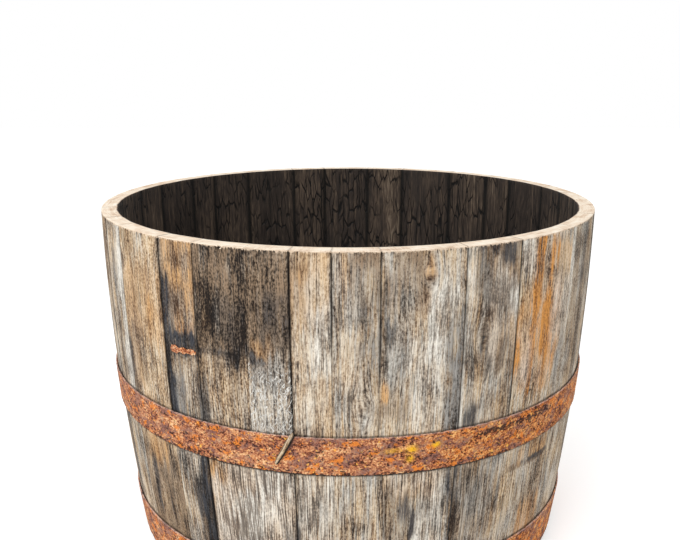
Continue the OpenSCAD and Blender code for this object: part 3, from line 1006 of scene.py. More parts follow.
# %% Marks
MARKS = {
    "soot": [
        (28, 30, 55, 30, 220, 40), (0, -10, 6, 35, 55, 90), (0, -10, 10, 140, 215, 75),
        (0, 22, 34, 290, 375, 60), (0, 60, 66, 350, 380, 70), (1, 5, 120, 108, 118, 90),
        # On stave 1, the soot rows from 108 to 118 mm and from 127 to 134 mm are painted shadow of the
        # rust crust, above and below it.
        (1, 5, 120, 127, 134, 70), (1, 50, 130, 294, 460, 95), (2, 35, 100, 60, 110, 35),
        (2, 70, 120, 108, 129, 80), (2, -20, 120, 119, 127, 60), (2, -20, 13, 150, 215, 60),
        (3, 30, 120, 45, 112, 40), (3, -20, 16, 110, 128, 85), (3, -20, 40, 120, 127, 45),
        (3, 10, 45, 123.5, 128.5, 80), (3, 93, 120, 262, 320, 50), (3, 92, 120, 310, 440, 100),
        (3, 70, 100, 330, 460, 40), (4, 56, 58.5, 135, 225, 45), (4, -20, 6, 320, 400, 70),
        (5, 62, 100, 30, 100, 40), (5, 80, 120, 65, 145, 40), (5, 12, 14.5, 120, 215, 35),
        (5, 35, 38, 150, 225, 120), (6, -20, 10, 40, 130, 25), (6, 30, 48, 45, 75, 40),
        (6, 3, 16, 78, 108, 120), (6, 90, 120, 120, 222, 60), (6, 30, 31.5, 175, 222, 90),
        (6, 5, 42, 285, 460, 40), (6, 43.5, 50, 312, 350, 95), (7, 60, 95, -20, 26, 80),
        (7, 22, 44, -10, 62, 45), (7, 42, 54, -10, 12, 90), (7, 62, 74, 4, 32, 80),
        (7, 26, 42, 92, 125, 80), (7, 66, 100, 115, 150, 40), (7, 28, 50, 135, 155, 30),
        (7, 10, 35, 185, 225, 60), (7, -20, 10, 258, 440, 60), (7, 30, 60, 290, 330, 22),
        (8, 68, 72, 6, 16, 80), (8, 46, 50, 20, 33, 80), (8, 82, 120, 130, 215, 25),
        (8, 35, 90, 284.5, 290.5, 130), (9, 35, 60, 20, 210, 35)],
    "ink": [
        (1, -20, 30, 48, 125, 100), (1, -20, 17, 110, 225, 95), (1, -20, 120, 111, 138, 140),
        (1, -20, 45, 139, 225, 45), (1, 86, 120, 140, 225, 75), (1, 70, 130, 255, 460, 100),
        (6, 93, 120, 60, 222, 60), (6, 84, 97, 110, 222, 50), (6, 93, 120, 258, 430, 85)],
    "slate": [
        (0, 0, 30, 120, 222, 12), (1, 20, 90, 140, 225, 15), (3, 10, 100, 120, 160, 30),
        (5, 50, 120, 60, 130, 30), (6, 78, 120, 75, 225, 50), (6, 5, 30, 80, 160, 35),
        (8, 78, 94, 110, 222, 30)],
    "umber": [
        (0, 10, 50, 60, 190, 25), (0, -10, 110, 275, 420, 60), (0, 20, 38, 280, 385, 90),
        (1, -20, 120, -20, 122, 50), (1, 45, 90, 94, 113, 70), (1, 30, 120, 106, 120, 80),
        (2, -20, 120, -20, 126, 100), (2, -20, 120, 118, 152, 40), (2, 20, 90, 140, 180, 25),
        (3, -20, 120, -20, 122, 85), (3, -20, 110, 116, 148, 45), (4, -20, 48, -20, 70, 40),
        (5, 32, 110, -20, 70, 60), (5, 30, 70, 94, 118, 30), (6, 12, 62, -20, 66, 45),
        (6, 2, 30, 10, 70, 35), (6, -10, 40, 165, 195, 40), (7, 90, 120, 18, 75, 80),
        (7, 5, 95, 262, 420, 12), (7, 15, 55, 272, 305, 30), (8, 45, 62, 36, 56, 50),
        (8, 50, 58, 95, 112, 90), (8, 10, 90, 262, 400, 20), (8, 10, 85, 285, 292.5, 120),
        (9, 10, 80, 10, 200, 35)],
    "ochre": [
        (0, 20, 120, 40, 140, 30), (0, -10, 40, 40, 200, 25), (0, 62, 120, 80, 130, 50),
        (0, 20, 75, 255, 300, 70), (1, 10, 100, -20, 100, 45), (2, 5, 95, 262, 300, 35),
        (2, -10, 110, 262, 440, 30), (2, 5, 60, 262, 400, 45), (2, 0, 45, 262, 310, 50),
        (3, 12, 60, 98, 123, 42), (3, 0, 60, 262, 290, 45), (3, -10, 110, 262, 440, 35),
        (4, -20, 120, -20, 80, 22), (5, 5, 36, -20, 60, 30), (6, 50, 60, 14, 36, 80),
        (6, 40, 56, 48, 75, 35), (6, 1.5, 9.5, 150, 172, 120), (6, 5, 80, 262, 292, 35),
        (7, 40, 98, -20, 150, 22), (8, 5, 95, 4, 150, 30), (8, 30, 85, 262, 290, 65)],
    "rust": [
        (1, 40, 95, 96, 112, 30), (8, 27, 38, -20, 80, 130), (8, 50, 57, -10, 72, 75),
        (8, 22, 34, 2, 200, 120), (8, 62, 66, 10, 60, 60), (8, 8, 78, 60, 190, 38),
        (8, 46, 62, 60, 200, 60), (8, 66, 74, 70, 170, 50), (8, 40, 72, 72, 145, 100),
        (8, -20, 8, 85, 165, 60), (8, 40, 95, 350, 440, 30)],
    "bleach": [
        (28, 76, 120, -20, 220, 75), (2, 40, 120, 255, 300, 35), (2, 2, 98, 285, 440, 45),
        (2, 55, 120, 292, 440, 80), (3, -20, 120, 140, 215, 12), (3, 45, 95, 155, 212, 15),
        (3, -10, 110, 255, 300, 60), (3, -20, 22, 285, 440, 60), (3, 2, 93, 288, 440, 45),
        (4, 50, 100, 60, 140, 60), (4, 10, 95, 100, 215, 20), (4, 6, 110, 262, 440, 40),
        (5, 30, 62, 36, 72, 32), (5, 5, 66, 100, 190, 22), (6, 76, 92, 35, 95, 70),
        (6, 56, 80, 42, 130, 90), (6, 8, 40, 98, 140, 45), (6, 40, 72, 100, 215, 25),
        (6, 10, 60, 255, 285, 35), (6, 55, 90, 262, 430, 25), (6, 50, 80, 316, 440, 60),
        (7, -20, 4.5, -20, 225, 160), (7, 3, 24, 30, 75, 40), (7, 42, 100, 38, 80, 60),
        (7, 30, 60, 40, 66, 40), (7, 42, 66, 80, 160, 25), (8, 3, 22, -20, 45, 50),
        (8, 95.5, 120, -20, 120, 90), (8, 62, 94, 50, 135, 40), (8, 5, 30, 110, 180, 30),
        (8, 80, 97, 120, 215, 30), (9, -20, 3.5, -20, 135, 100)],
}
# Tone, warmth and relief of the staves in the photograph, then of the rest by seed
LOOKS = {28: (0.05, 0.0, 1.0), 0: (0.03, 0.42, 1.12), 1: (-0.01, -0.05, 0.95), 2: (-0.09, 0.10, 1.1),
         3: (-0.07, 0.0, 1.15), 4: (0.05, 0.22, 0.92), 5: (0.09, 0.05, 0.94), 6: (0.03, 0.08, 0.97),
         7: (0.0, -0.02, 0.74), 8: (0.10, 0.12, 1.15), 9: (0.07, 0.05, 1.1)}
HIDDEN_STAVES = range(10, 28)
# How often each kind of mark comes up on a hidden stave, and how many marks it gets
MARK_ODDS = {"soot": 0.25, "ink": 0.1, "umber": 0.3, "ochre": 0.1, "rust": 0.1, "bleach": 0.15}
MARKS_EACH = 5
# What chance decides, each from its range
CHANCE = {
    "tone": (-0.06, 0.10), "warmth": (-0.2, 0.25), "relief": (0.75, 1.15),
    "left": (-30, 80), "top": (-20, 380), "wide": (10, 60), "tall": (30, 200), "strength": (25, 65),
    "arris": (0.0004, 0.0015), "dark": (0.5, 1.0), "fade": (0.08, 0.4),
    "lower share": (0.3, 1.4), "lower dark": (0.2, 0.9), "sunk": (0.0001, 0.0005),
    "knot share": (0.2, 0.8), "knot drop": (0.03, 0.40), "knot radius": (0.004, 0.010),
}
dice = np.random.default_rng(1709)


def draw(name):
    """A value from a range of chance. The seed is fixed, so every run draws the same."""
    return dice.uniform(*CHANCE[name])


for stave in HIDDEN_STAVES:
    LOOKS[stave] = (draw("tone"), draw("warmth"), draw("relief"))
    for kind in dice.choice(list(MARK_ODDS), MARKS_EACH, p=list(MARK_ODDS.values())):
        left = draw("left")
        top = draw("top")
        mark = (stave, left, left + draw("wide"), top, top + draw("tall"), draw("strength"))
        MARKS[str(kind)].append(mark)
print("marks:", sum(len(marks) for marks in MARKS.values()))

# %% [markdown]
# A seam has five numbers: its arris in metres and its darkness above the upper hoop, the drop at
# which that darkness fades, and the arris and darkness below the hoop. The darkness is dirt and
# painted shade beside the seam. Seam 0 is the left side of stave_01.

# %% Seams and knots
SEAMS = {
    0: (0.0008, 0.8, 0.22, 0.0003, 0.2), 1: (0.0015, 1.0, 0.22, 0.0003, 0.2),
    2: (0.0009, 0.9, 0.22, 0.0022, 1.0), 3: (0.0003, 0.4, 0.10, 0.0002, 0.1),
    4: (0.0012, 1.0, 0.22, 0.0009, 0.8), 5: (0.0009, 1.0, 0.09, 0.0002, 0.1),
    6: (0.0008, 1.0, 0.13, 0.0002, 0.1), 7: (0.0007, 1.0, 0.22, 0.0008, 0.9),
    8: (0.0008, 1.0, 0.20, 0.0003, 0.25), 9: (0.0006, 0.5, 0.22, 0.0003, 0.3),
    10: (0.0010, 0.8, 0.22, 0.0006, 0.6),
}
for seam in range(11, STAVE_COUNT):
    upper = draw("arris")
    SEAMS[seam] = (upper, draw("dark"), draw("fade"), upper * draw("lower share"), draw("lower dark"))
SUNK = [draw("sunk") for stave in range(STAVE_COUNT)]
# Seams close to less than the solids' gap, because wood swells.
SWELL = 0.0002
# Knots: stave, share across, drop below the rim, radius
KNOTS = [(8, 0.53, 0.047, 0.007), (0, 0.30, 0.335, 0.010), (5, 0.62, 0.175, 0.006),
         (7, 0.36, 0.108, 0.007), (6, 0.56, 0.026, 0.006)]
for stave in HIDDEN_STAVES:
    KNOTS.append((stave, draw("knot share"), draw("knot drop"), draw("knot radius")))
print("seams:", len(SEAMS), "knots:", len(KNOTS))


# %% [markdown]
# A mark is a soft oval window across and along the stave. Its outline is moved about by smooth
# chance, in tongues that run with the grain, so it ends as a stain in wood does.

# %% Chance over a surface
def soft_window(values, low, high, soft):
    """1 between low and high, falling to 0 over soft on each side."""
    rise = np.clip((values - low) / soft + 0.5, 0, 1)
    fall = np.clip((high - values) / soft + 0.5, 0, 1)
    both = np.minimum(rise, fall)
    return both * both * (3 - 2 * both)


# Large odd factors, whose product with a whole number shows no pattern in its decimals
HASH_COLUMN, HASH_ROW, HASH_SEED, HASH_SPREAD = 127.1, 311.7, 74.7, 43758.5453


def lattice(column, row, seed):
    """A repeatable random value from 0 to 1 for every whole-number place."""
    wave = np.sin(column * HASH_COLUMN + row * HASH_ROW + seed * HASH_SEED)
    return np.modf(np.abs(wave * HASH_SPREAD))[0]


def drift(x, y, seed):
    """Smooth random values from -0.5 to 0.5."""
    column = np.floor(x)
    row = np.floor(y)
    fx = x - column
    fy = y - row
    fx = fx * fx * (3 - 2 * fx)
    fy = fy * fy * (3 - 2 * fy)
    low = lattice(column, row, seed) * (1 - fx) + lattice(column + 1, row, seed) * fx
    high = lattice(column, row + 1, seed) * (1 - fx) + lattice(column + 1, row + 1, seed) * fx
    return low * (1 - fy) + high * fy - 0.5


def drifts(across, drop, seed, waves):
    """A sum of drifts, each given as its size, repeats per metre across and along, and own seed."""
    return sum(size * drift(across * wide, drop * long, seed + own) for size, wide, long, own in waves)


# %% Turn marks into vertex values
# How a mark's outline sways in metres, how far tongues reach, and how patchy it is inside
SWAYS = ((0.011, 60, 22, 0), (0.005, 200, 70, 0))
TONGUES = ((1.0, 300, 8, 3), (0.6, 620, 30, 7))
PATCHES = ((0.9, 170, 26, 9), (0.9, 70, 45, 11))
SOFT_SIDE = 0.008
SOFT_SIDE_SHARE = 0.7
SOFT_END = 0.020
SOFT_END_SHARE = 0.6
TONGUE_REACH = 1.3
NARROW = 0.012  # a mark narrower than this sways less
FUZZY_STAVE = 3
FUZZ = (0.135, 0.215, 0.02)  # drops between which its hairs have lifted, and the soft end


def mark_mask(mark, share, drop, width, sway, tongues):
    """One mark's window over a stave."""
    left, right, top, bottom, strength = np.divide(mark, (100, 100, 1000, 1000, 100))
    reach = min(1.0, (right - left) * width / NARROW)
    moved = share + sway * reach / width
    wide = soft_window(moved, left, right, min(SOFT_SIDE / width, SOFT_SIDE_SHARE * (right - left)))
    spread = min(SOFT_END, SOFT_END_SHARE * (bottom - top))
    tall = soft_window(drop + TONGUE_REACH * spread * tongues, top, bottom, spread)
    return strength * wide * tall


def mark_stave(mesh, stave, share, drop, width):
    """Writes every kind of mark on a stave, from its vertices' shares across and drops below the rim."""
    across = share * width
    sway = drifts(across, drop, stave, SWAYS)
    tongues = drifts(across, drop, stave, TONGUES)
    patches = 1.0 + drifts(across, drop, stave, PATCHES)
    for kind, marks in MARKS.items():
        mask = np.zeros(len(share))
        for place, *mark in marks:
            if place == stave:
                mask = np.maximum(mask, mark_mask(mark, share, drop, width, sway, tongues) * patches)
        write_float(mesh, kind, np.clip(mask, 0, 1))
    low, high, soft = FUZZ
    fuzz = soft_window(drop + soft * tongues, low, high, soft) if stave == FUZZY_STAVE else 0.0 * drop
    write_float(mesh, "fuzz", fuzz)


# %% Seams and knots on the vertices
JOINT_REACH = 0.0042  # how far the char has crumbled beside a joint
FADE_LENGTH = 0.03
FADED = 0.85
# How far a seam's dirt and painted shade reach beside it.
DIRT_AND_SHADE_REACH = 1.1  # of a seam's dirt, as a share of its arris
PATCHY = 0.5
PATCHES_PER_METRE = 90
KNOT_LENGTHENED = 1.9
KNOT_REACH = 1.5
KNOT_PUSH = 0.85


def beside(distance, reach):
    """1 at no distance, falling softly to 0 past the reach."""
    return np.exp(-((distance / reach) ** 2))


def seam_mask(seam, distance, drop):
    """Dirt and painted shade beside a seam, wider and darker where the seam stands open."""
    upper, upper_dark, fade, lower, lower_dark = SEAMS[seam]
    below = np.clip((drop - (HEIGHT - HIGH_Z)) / (HIGH_Z - LOW_Z), 0, 1)
    fading = 1 - FADED * np.clip((drop - fade) / FADE_LENGTH, 0, 1)
    opened = upper * (1 - below) + lower * below
    dark = upper_dark * fading * (1 - below) + lower_dark * below
    patchy = 1 + PATCHY * drift(drop * PATCHES_PER_METRE, drop * 0, seam)
    return dark * patchy * beside(distance, opened * DIRT_AND_SHADE_REACH)


def mark_seams(mesh, stave, share, drop, width):
    """Dirt and painted shade that darken a stave towards its two sides."""
    left = seam_mask(stave, share * width, drop)
    right = seam_mask((stave + 1) % STAVE_COUNT, (1 - share) * width, drop)
    write_float(mesh, "gap", np.clip(np.maximum(left, right), 0, 1))
    edge = np.minimum(share, 1 - share) * width
    write_float(mesh, "joint", beside(edge, JOINT_REACH))


def bend_round_knots(stave, across, share, drop, width):
    """Pushes the grain's lines apart round each knot of a stave."""
    for place, middle, down, radius in KNOTS:
        if place != stave:
            continue
        dx = (share - middle) * width
        dy = (drop - down) / KNOT_LENGTHENED
        near = np.exp(-(dx * dx + dy * dy) / (2 * (KNOT_REACH * radius) ** 2))
        across = across - KNOT_PUSH * dx * near
    return across


# %% [markdown]
# ## Making the staves
#
# Every stave is swept on its own, with its own seed, so no two show the same figure. Faces are then
# sorted to four finishes by where they lie: weathered outside, freshly sawn on the rim, charred
# inside and old end grain at the foot.


# %% Sort faces to finishes
OUTSIDE, RIM, INSIDE, FOOT = range(4)
FACES_IN = -0.35
FACES_UP = 0.5
FACES_FLAT = 0.6
RIM_ZONE = HEIGHT - 0.006
FOOT_ZONE = 0.001
GROOVE_ZONE = (0.03, 0.07)


def read_faces(mesh, kind):
    """The centre or the normal of every face, as an array of rows."""
    rows = np.empty(len(mesh.polygons) * 3, np.float32)
    mesh.polygons.foreach_get(kind, rows)
    return rows.reshape(-1, 3)


def sort_faces(mesh):
    """Gives every face of a stave the finish of the side that it is on."""
    centres = read_faces(mesh, "center")
    normals = read_faces(mesh, "normal")
    height = centres[:, 2]
    upward = normals[:, 2]
    radius = np.hypot(centres[:, 0], centres[:, 1])
    outward = (centres[:, 0] * normals[:, 0] + centres[:, 1] * normals[:, 1]) / radius
    in_groove = (height > GROOVE_ZONE[0]) & (height < GROOVE_ZONE[1])
    finish = np.full(len(height), OUTSIDE, np.int32)
    finish[outward < FACES_IN] = INSIDE
    finish[(upward > FACES_UP) & (height > RIM_ZONE)] = RIM
    finish[(upward < -FACES_FLAT) & (height < FOOT_ZONE)] = FOOT
    finish[(np.abs(upward) > FACES_FLAT) & in_groove] = INSIDE
    mesh.polygons.foreach_set("material_index", finish)


# %% Grain of a stave
# Steps from one stave to the next, so that no two show the same figure
BOARD_STEP = 3.1
FIGURE_STEP = 0.37


def write_grain(mesh, stave):
    """Grain coordinates, depth, tone and warmth of a stave."""
    places = read_vertices(mesh)
    start, end = SPANS[stave]
    middle = (start + end) / 2
    angles = np.arctan2(places[:, 1], places[:, 0])
    angles = middle + (angles - middle + math.pi) % (2 * math.pi) - math.pi
    radii = np.hypot(places[:, 0], places[:, 1])
    skin = np.array([outer_radius(z) for z in places[:, 2]])
    share = (angles - start) / (end - start)
    drop = HEIGHT - places[:, 2]
    width = (end - start) * RIM_R
    across = bend_round_knots(stave, (angles - middle) * radii, share, drop, width)
    board = np.full(len(places), BOARD_STEP * stave)
    write_vector(mesh, "grain", np.stack([across + FIGURE_STEP * stave, places[:, 2], board], 1))
    write_float(mesh, "depth", np.clip(skin - radii, 0, 1))
    write_same(mesh, dict(zip(("tone", "warmth", "relief"), LOOKS[stave])))
    return share, drop, width


# %% Make the staves
COLUMN = 0.0016
FEWEST_COLUMNS = 16
STAVE_WEAR = 0.0011
CHIP_DEPTH = 0.0028
WEAR_STEP = 1.7
SWEEP_LEFTOVERS = ("ring_r", "ring_z", "sweep")


def drop_attributes(mesh, names):
    """Removes stored values that only a tree needed."""
    for name in names:
        mesh.attributes.remove(mesh.attributes[name])


def make_stave(stave):
    """Sweeps one stave, marks it and puts it in its solid's place."""
    start, end = SPANS[stave]
    name = f"oak_{stave_node(stave)}"
    piece = wire_mesh(name, stave_section())
    columns = max(FEWEST_COLUMNS, round((end - start) * RIM_R / COLUMN))
    right = (stave + 1) % STAVE_COUNT
    swell = SWELL / RIM_R
    inputs = {"From": start - swell, "To": end + swell, "Sunk": SUNK[stave],
              "Left arris": SEAMS[stave][0], "Left low arris": SEAMS[stave][3],
              "Right arris": SEAMS[right][0], "Right low arris": SEAMS[right][3],
              "Wear": STAVE_WEAR, "Rim chips": CHIP_DEPTH, "Seed": WEAR_STEP * stave,
              "Columns": columns, "Material": weathered_oak}
    bake_tree(piece, stave_tree, inputs)
    share, drop, width = write_grain(piece.data, stave)
    mark_stave(piece.data, stave, share, drop, width)
    mark_seams(piece.data, stave, share, drop, width)
    drop_attributes(piece.data, SWEEP_LEFTOVERS)
    for finish in (sawn_oak, charred_oak, foot_oak):
        piece.data.materials.append(finish)
    sort_faces(piece.data)
    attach(piece, "root")
    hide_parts(stave_node(stave))
    return piece


staves = [make_stave(i) for i in range(STAVE_COUNT)]
print("staves:", len(staves), "faces:", sum(len(p.data.polygons) for p in staves))

# %% [markdown]
# ## Hoops
#
# A hoop is a flat strip bent into a ring, with its ends lapped and riveted. The strip leans with the
# staves, because it is driven down a cone. It is the stave's sweep again with another rule: after
# one whole turn the radius climbs by the strip's thickness over a short joggle, and the rest lies on
# top of the beginning. Rust eats the strip from outside, so wear only sinks the outer face, and it
# nibbles both edges.

# %% Hoop sizes
HOOPS = {
    "quarter_hoop": {"z": 0.235, "width": 0.047, "lap_azimuth": 172.0},
    "chime_hoop": {"z": 0.045, "width": 0.060, "lap_azimuth": 196.0},
}
HOOP_EDGE = 0.0004
HOOP_STEP = 0.003
BACK_POINTS = 7
EDGE_SUPPORT = 3  # edges' width at which an extra row holds the face flat


def lean_at(z):
    """Lean of the staves' outer face from the vertical."""
    return math.asin((HEIGHT - z) / BEND_R)


def hoop_point(z, out, up):
    """Radius and height of a point of the strip: out from the staves, up from its middle line."""
    tilt = lean_at(z)
    radius = outer_radius(z) + out * math.cos(tilt) + up * math.sin(tilt)
    return radius, z - out * math.sin(tilt) + up * math.cos(tilt)


def hoop_profile(width):
    """Outline of the strip as (out, up) points, outer face first, with eased corners."""
    half = width / 2
    low = HOOP_GAP
    high = HOOP_GAP + HOOP_T
    steps = int((width - 2 * HOOP_EDGE) / HOOP_STEP)
    face = [-half + HOOP_EDGE + (width - 2 * HOOP_EDGE) * i / steps for i in range(steps + 1)]
    face[1:1] = [-half + EDGE_SUPPORT * HOOP_EDGE]
    face[-1:-1] = [half - EDGE_SUPPORT * HOOP_EDGE]
    corner = CORNER * HOOP_EDGE
    points = [(high, v) for v in face]
    points += [(high - corner, half - corner), (high - HOOP_EDGE, half)]
    points += [(low + HOOP_EDGE, half), (low, half - HOOP_EDGE)]
    points += [(low, -v) for v in np.linspace(-half + HOOP_EDGE, half - HOOP_EDGE, BACK_POINTS)[1:-1]]
    points += [(low, -half + HOOP_EDGE), (low + HOOP_EDGE, -half), (high - HOOP_EDGE, -half)]
    return points + [(high - corner, -half + corner)]


# %% The hoop tree
# Each noise: repeats per metre along the strip and up it, then detail
RUST_PITS = (85.0, 110.0, 3.0)
EDGE_BITES = (120.0, 1.0, 3.0)
PIT_RANGE = (0.42, 0.72)
BITE_RANGE = (0.40, 0.75)
EDGE_ZONE = (0.93, 1.0)  # shares of the half width where rust nibbles the edge
HOOP_SIZES = ("Start", "Turn", "Step start", "Step end", "Pitch", "Lean", "Half width", "Pit depth",
              "Edge loss", "Seed")


def rust_away(tree, given, run, up):
    """How deep the outer face is pitted at a point, and how much of the edge is gone."""
    pits = remap(tree, grown_noise(tree, run, up, given["Seed"], *RUST_PITS), *PIT_RANGE)
    sink = times(tree, times(tree, pits, given["Pit depth"]), recall(tree, "skin"))
    near = calc(tree, "DIVIDE", up, given["Half width"])
    edge = remap(tree, calc(tree, "ABSOLUTE", near), *EDGE_ZONE)
    bites = remap(tree, grown_noise(tree, run, near, given["Seed"], *EDGE_BITES), *BITE_RANGE)
    return sink, times(tree, times(tree, bites, edge), given["Edge loss"])


def make_hoop_tree():
    """Sweeps a strip round the cask, steps it over its own start and rusts it."""
    tree, given = new_tree("Lapped hoop", HOOP_SIZES)
    mesh = sweep_section(tree, given["Geometry"], given["Columns"])
    turned = times(tree, recall(tree, "sweep"), given["Turn"])
    angle = plus(tree, turned, given["Start"])
    step = remap(tree, turned, given["Step start"], given["Step end"])
    run = times(tree, turned, RIM_R)
    up = recall(tree, "up")
    sink, loss = rust_away(tree, given, run, up)
    out = minus(tree, times(tree, step, given["Pitch"]), sink)
    radius = calc(tree, "MULTIPLY_ADD", out, calc(tree, "COSINE", given["Lean"]), recall(tree, "ring_r"))
    lower = times(tree, calc(tree, "SIGN", up), loss)
    height = minus(tree, recall(tree, "ring_z"), lower)
    height = minus(tree, height, times(tree, out, calc(tree, "SINE", given["Lean"])))
    mesh = store(tree, mesh, "run", run)
    finish_tree(tree, place_round_axis(tree, mesh, angle, radius, height), given["Material"])
    return tree


hoop_tree = make_hoop_tree()
print("nodes in the hoop tree:", len(hoop_tree.nodes))


# %% [markdown]
# The marks of the hoops are few: fresh yellow rust in four spots, amber rust on the right, a row of
# pits, a painted highlight along the upper edge, and darker pitting where a strip ends or a rivet's
# head holds water.

# %% Marks on the hoops
RIVET_HEAD_R = 0.0075
RIVET_INSET = 0.018
STRIP_R = RIM_R - 0.01
# Fresh spots: strength, azimuth, drop below the rim, half width in degrees, half height
FRESH_SPOTS = ((0.95, 12.3, 0.229, 1.0, 0.0045), (0.8, 17.2, 0.226, 0.8, 0.0035),
               (0.7, 12.0, 0.240, 0.7, 0.004), (0.45, 8.5, 0.229, 2.0, 0.0025))
FRESH_GAIN = 1.25
AMBER_SIDE = (18, 140, 16)  # first and last azimuth, and the soft end
PIT_ROW = (27, 48, 3)
PIT_ROW_DROP = 0.2235
PIT_ROW_HALF = 0.0035
PIT_CORNER = (-47, -15, 10)
LAP_LINE = 0.0022
RIVET_RING = 0.0018
# How strong each mark is
AMBER, ROW_PITS, CORNER_PITS, LOW_PITS, LAP_PITS, EDGE_HIGHLIGHT = 0.85, 0.95, 0.35, 0.45, 0.9, 0.62
# Share of the half width where the painted highlight on the upper edge starts, and its soft end
HIGHLIGHT_FROM, HIGHLIGHT_SOFT = 0.972, 0.02


def read_stored(mesh, name):
    """A stored float of every vertex."""
    values = np.empty(len(mesh.vertices), np.float32)
    mesh.attributes[name].data.foreach_get("value", values)
    return values.astype(float)


def fresh_rust(azimuth, drop):
    """Soft oval spots of fresh rust."""
    fresh = 0.0 * azimuth
    for strength, side, down, wide, tall in FRESH_SPOTS:
        far = ((azimuth - side) / wide) ** 2 + ((drop - down) / tall) ** 2
        fresh = np.maximum(fresh, strength * np.exp(-far))
    return np.minimum(1.0, FRESH_GAIN * fresh)


def lap_rust(azimuth, up, middle):
    """Pitting along the lap's end and round the heads of its rivets."""
    def around(degrees):
        """Metres round the strip from this azimuth."""
        return np.radians((azimuth - degrees + 180) % 360 - 180) * STRIP_R

    seat = np.degrees((LAP_LEN / 2 - RIVET_INSET) / STRIP_R)
    worn = beside(around(middle + np.degrees(LAP_LEN / 2 / STRIP_R)), LAP_LINE)
    for place in (middle - seat, middle + seat):
        worn = np.maximum(worn, beside(np.hypot(around(place), up) - RIVET_HEAD_R, RIVET_RING))
    return LAP_PITS * worn


def lower_edge(up, start):
    """0 up to this share of the half width, rising to 1 at the strip's lower edge."""
    return np.clip((-up / np.abs(up).max() - start) / (1 - start), 0, 1)


def mark_hoop(piece, batch):
    """Strip coordinates, and the few marks that the photograph shows on the hoops."""
    mesh = piece.data
    places = read_vertices(mesh)
    azimuth = azimuth_of(places)
    drop = HEIGHT - places[:, 2]
    run = read_stored(mesh, "run")
    up = read_stored(mesh, "up")
    write_vector(mesh, "strip", np.stack([run, up, np.full(len(run), batch)], 1))
    write_float(mesh, "amber", AMBER * soft_window(azimuth, *AMBER_SIDE))
    write_float(mesh, "fresh", fresh_rust(azimuth, drop))
    pitted = (ROW_PITS * soft_window(azimuth, *PIT_ROW) * beside(drop - PIT_ROW_DROP, PIT_ROW_HALF),
              CORNER_PITS * soft_window(azimuth, *PIT_CORNER) * lower_edge(up, 0.6),
              LOW_PITS * lower_edge(up, 0.8),
              lap_rust(azimuth, up, HOOPS[piece.name.removeprefix("rusty_")]["lap_azimuth"]))
    write_float(mesh, "pitted", np.max(pitted, axis=0))
    # Painted highlight along the strip's upper edge.
    write_float(mesh, "rub_and_highlight", EDGE_HIGHLIGHT * np.clip((up / np.abs(up).max() - HIGHLIGHT_FROM) / HIGHLIGHT_SOFT, 0, 1))


# %% Make the hoops
HOOP_COLUMNS = 860
PIT_DEPTH = 0.0006
EDGE_LOSS = 0.0012
FIRST_SEED = 4.0
BATCH_STEP = 2.3
TRULY_OUTSIDE = HOOP_GAP + 0.8 * HOOP_T


def make_hoop(name, size, batch):
    """Sweeps one hoop in its solid's place."""
    profile = hoop_profile(size["width"])
    piece = wire_mesh(f"rusty_{name}", [hoop_point(size["z"], out, up) for out, up in profile])
    write_float(piece.data, "up", [up for out, up in profile])
    write_float(piece.data, "skin", [float(out > TRULY_OUTSIDE) for out, up in profile])
    radius = outer_radius(size["z"])
    lap = LAP_LEN / radius
    step_end = 2 * math.pi - JOGGLE_GAP / radius
    inputs = {"Start": math.radians(size["lap_azimuth"] - 90) - lap / 2, "Turn": 2 * math.pi + lap,
              "Step start": step_end - JOGGLE_LEN / radius, "Step end": step_end,
              "Pitch": HOOP_T + LAP_GAP, "Lean": lean_at(size["z"]), "Half width": size["width"] / 2,
              "Pit depth": PIT_DEPTH, "Edge loss": EDGE_LOSS, "Seed": FIRST_SEED + batch,
              "Columns": HOOP_COLUMNS, "Material": hoop_rust}
    bake_tree(piece, hoop_tree, inputs)
    mark_hoop(piece, batch)
    drop_attributes(piece.data, SWEEP_LEFTOVERS + ("up", "skin", "run"))
    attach(piece, "root")
    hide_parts(name)
    return piece


hoops = [make_hoop(name, size, BATCH_STEP * i) for i, (name, size) in enumerate(HOOPS.items())]
print("hoops:", [(p.name, len(p.data.polygons)) for p in hoops])

# %% [markdown]
# ## Rivets
#
# Each lap is closed by two rivets, hammered over until the heads are low and a little faceted. One
# rivet is turned as a closed lathe shape, and a tree stands a copy of it at each place of the lap,
# facing out along the hoop's lean.

# %% Rivet sizes
RIVET_R = 0.004
RIVET_HEAD_H = 0.0022
RIVET_SEAT = HOOP_GAP + HOOP_T + HOOP_T + LAP_GAP + 0.00005
RIVET_FOOT = HOOP_GAP + 0.0001
RIVET_SIDES = 28
HEAD_LIP = 0.0002
HEAD_TURNS = range(12, 90, 13)
DENTS = 5
DENT_DEPTH = 0.035
SHANK_RINGS = 4


def rivet_profile():
    """Radius and height of the rivet's outline, from the shank's end to the top of the head."""
    rings = [(RIVET_R * 0.9, RIVET_FOOT), (RIVET_R, RIVET_FOOT + 0.0003), (RIVET_R, RIVET_SEAT)]
    rings += [(RIVET_HEAD_R * 0.965, RIVET_SEAT), (RIVET_HEAD_R, RIVET_SEAT + HEAD_LIP)]
    for turn in HEAD_TURNS:
        angle = math.radians(turn)
        height = RIVET_SEAT + HEAD_LIP + (RIVET_HEAD_H - HEAD_LIP) * math.sin(angle) ** 0.85
        rings.append((RIVET_HEAD_R * math.cos(angle) ** 0.72, height))
    return rings


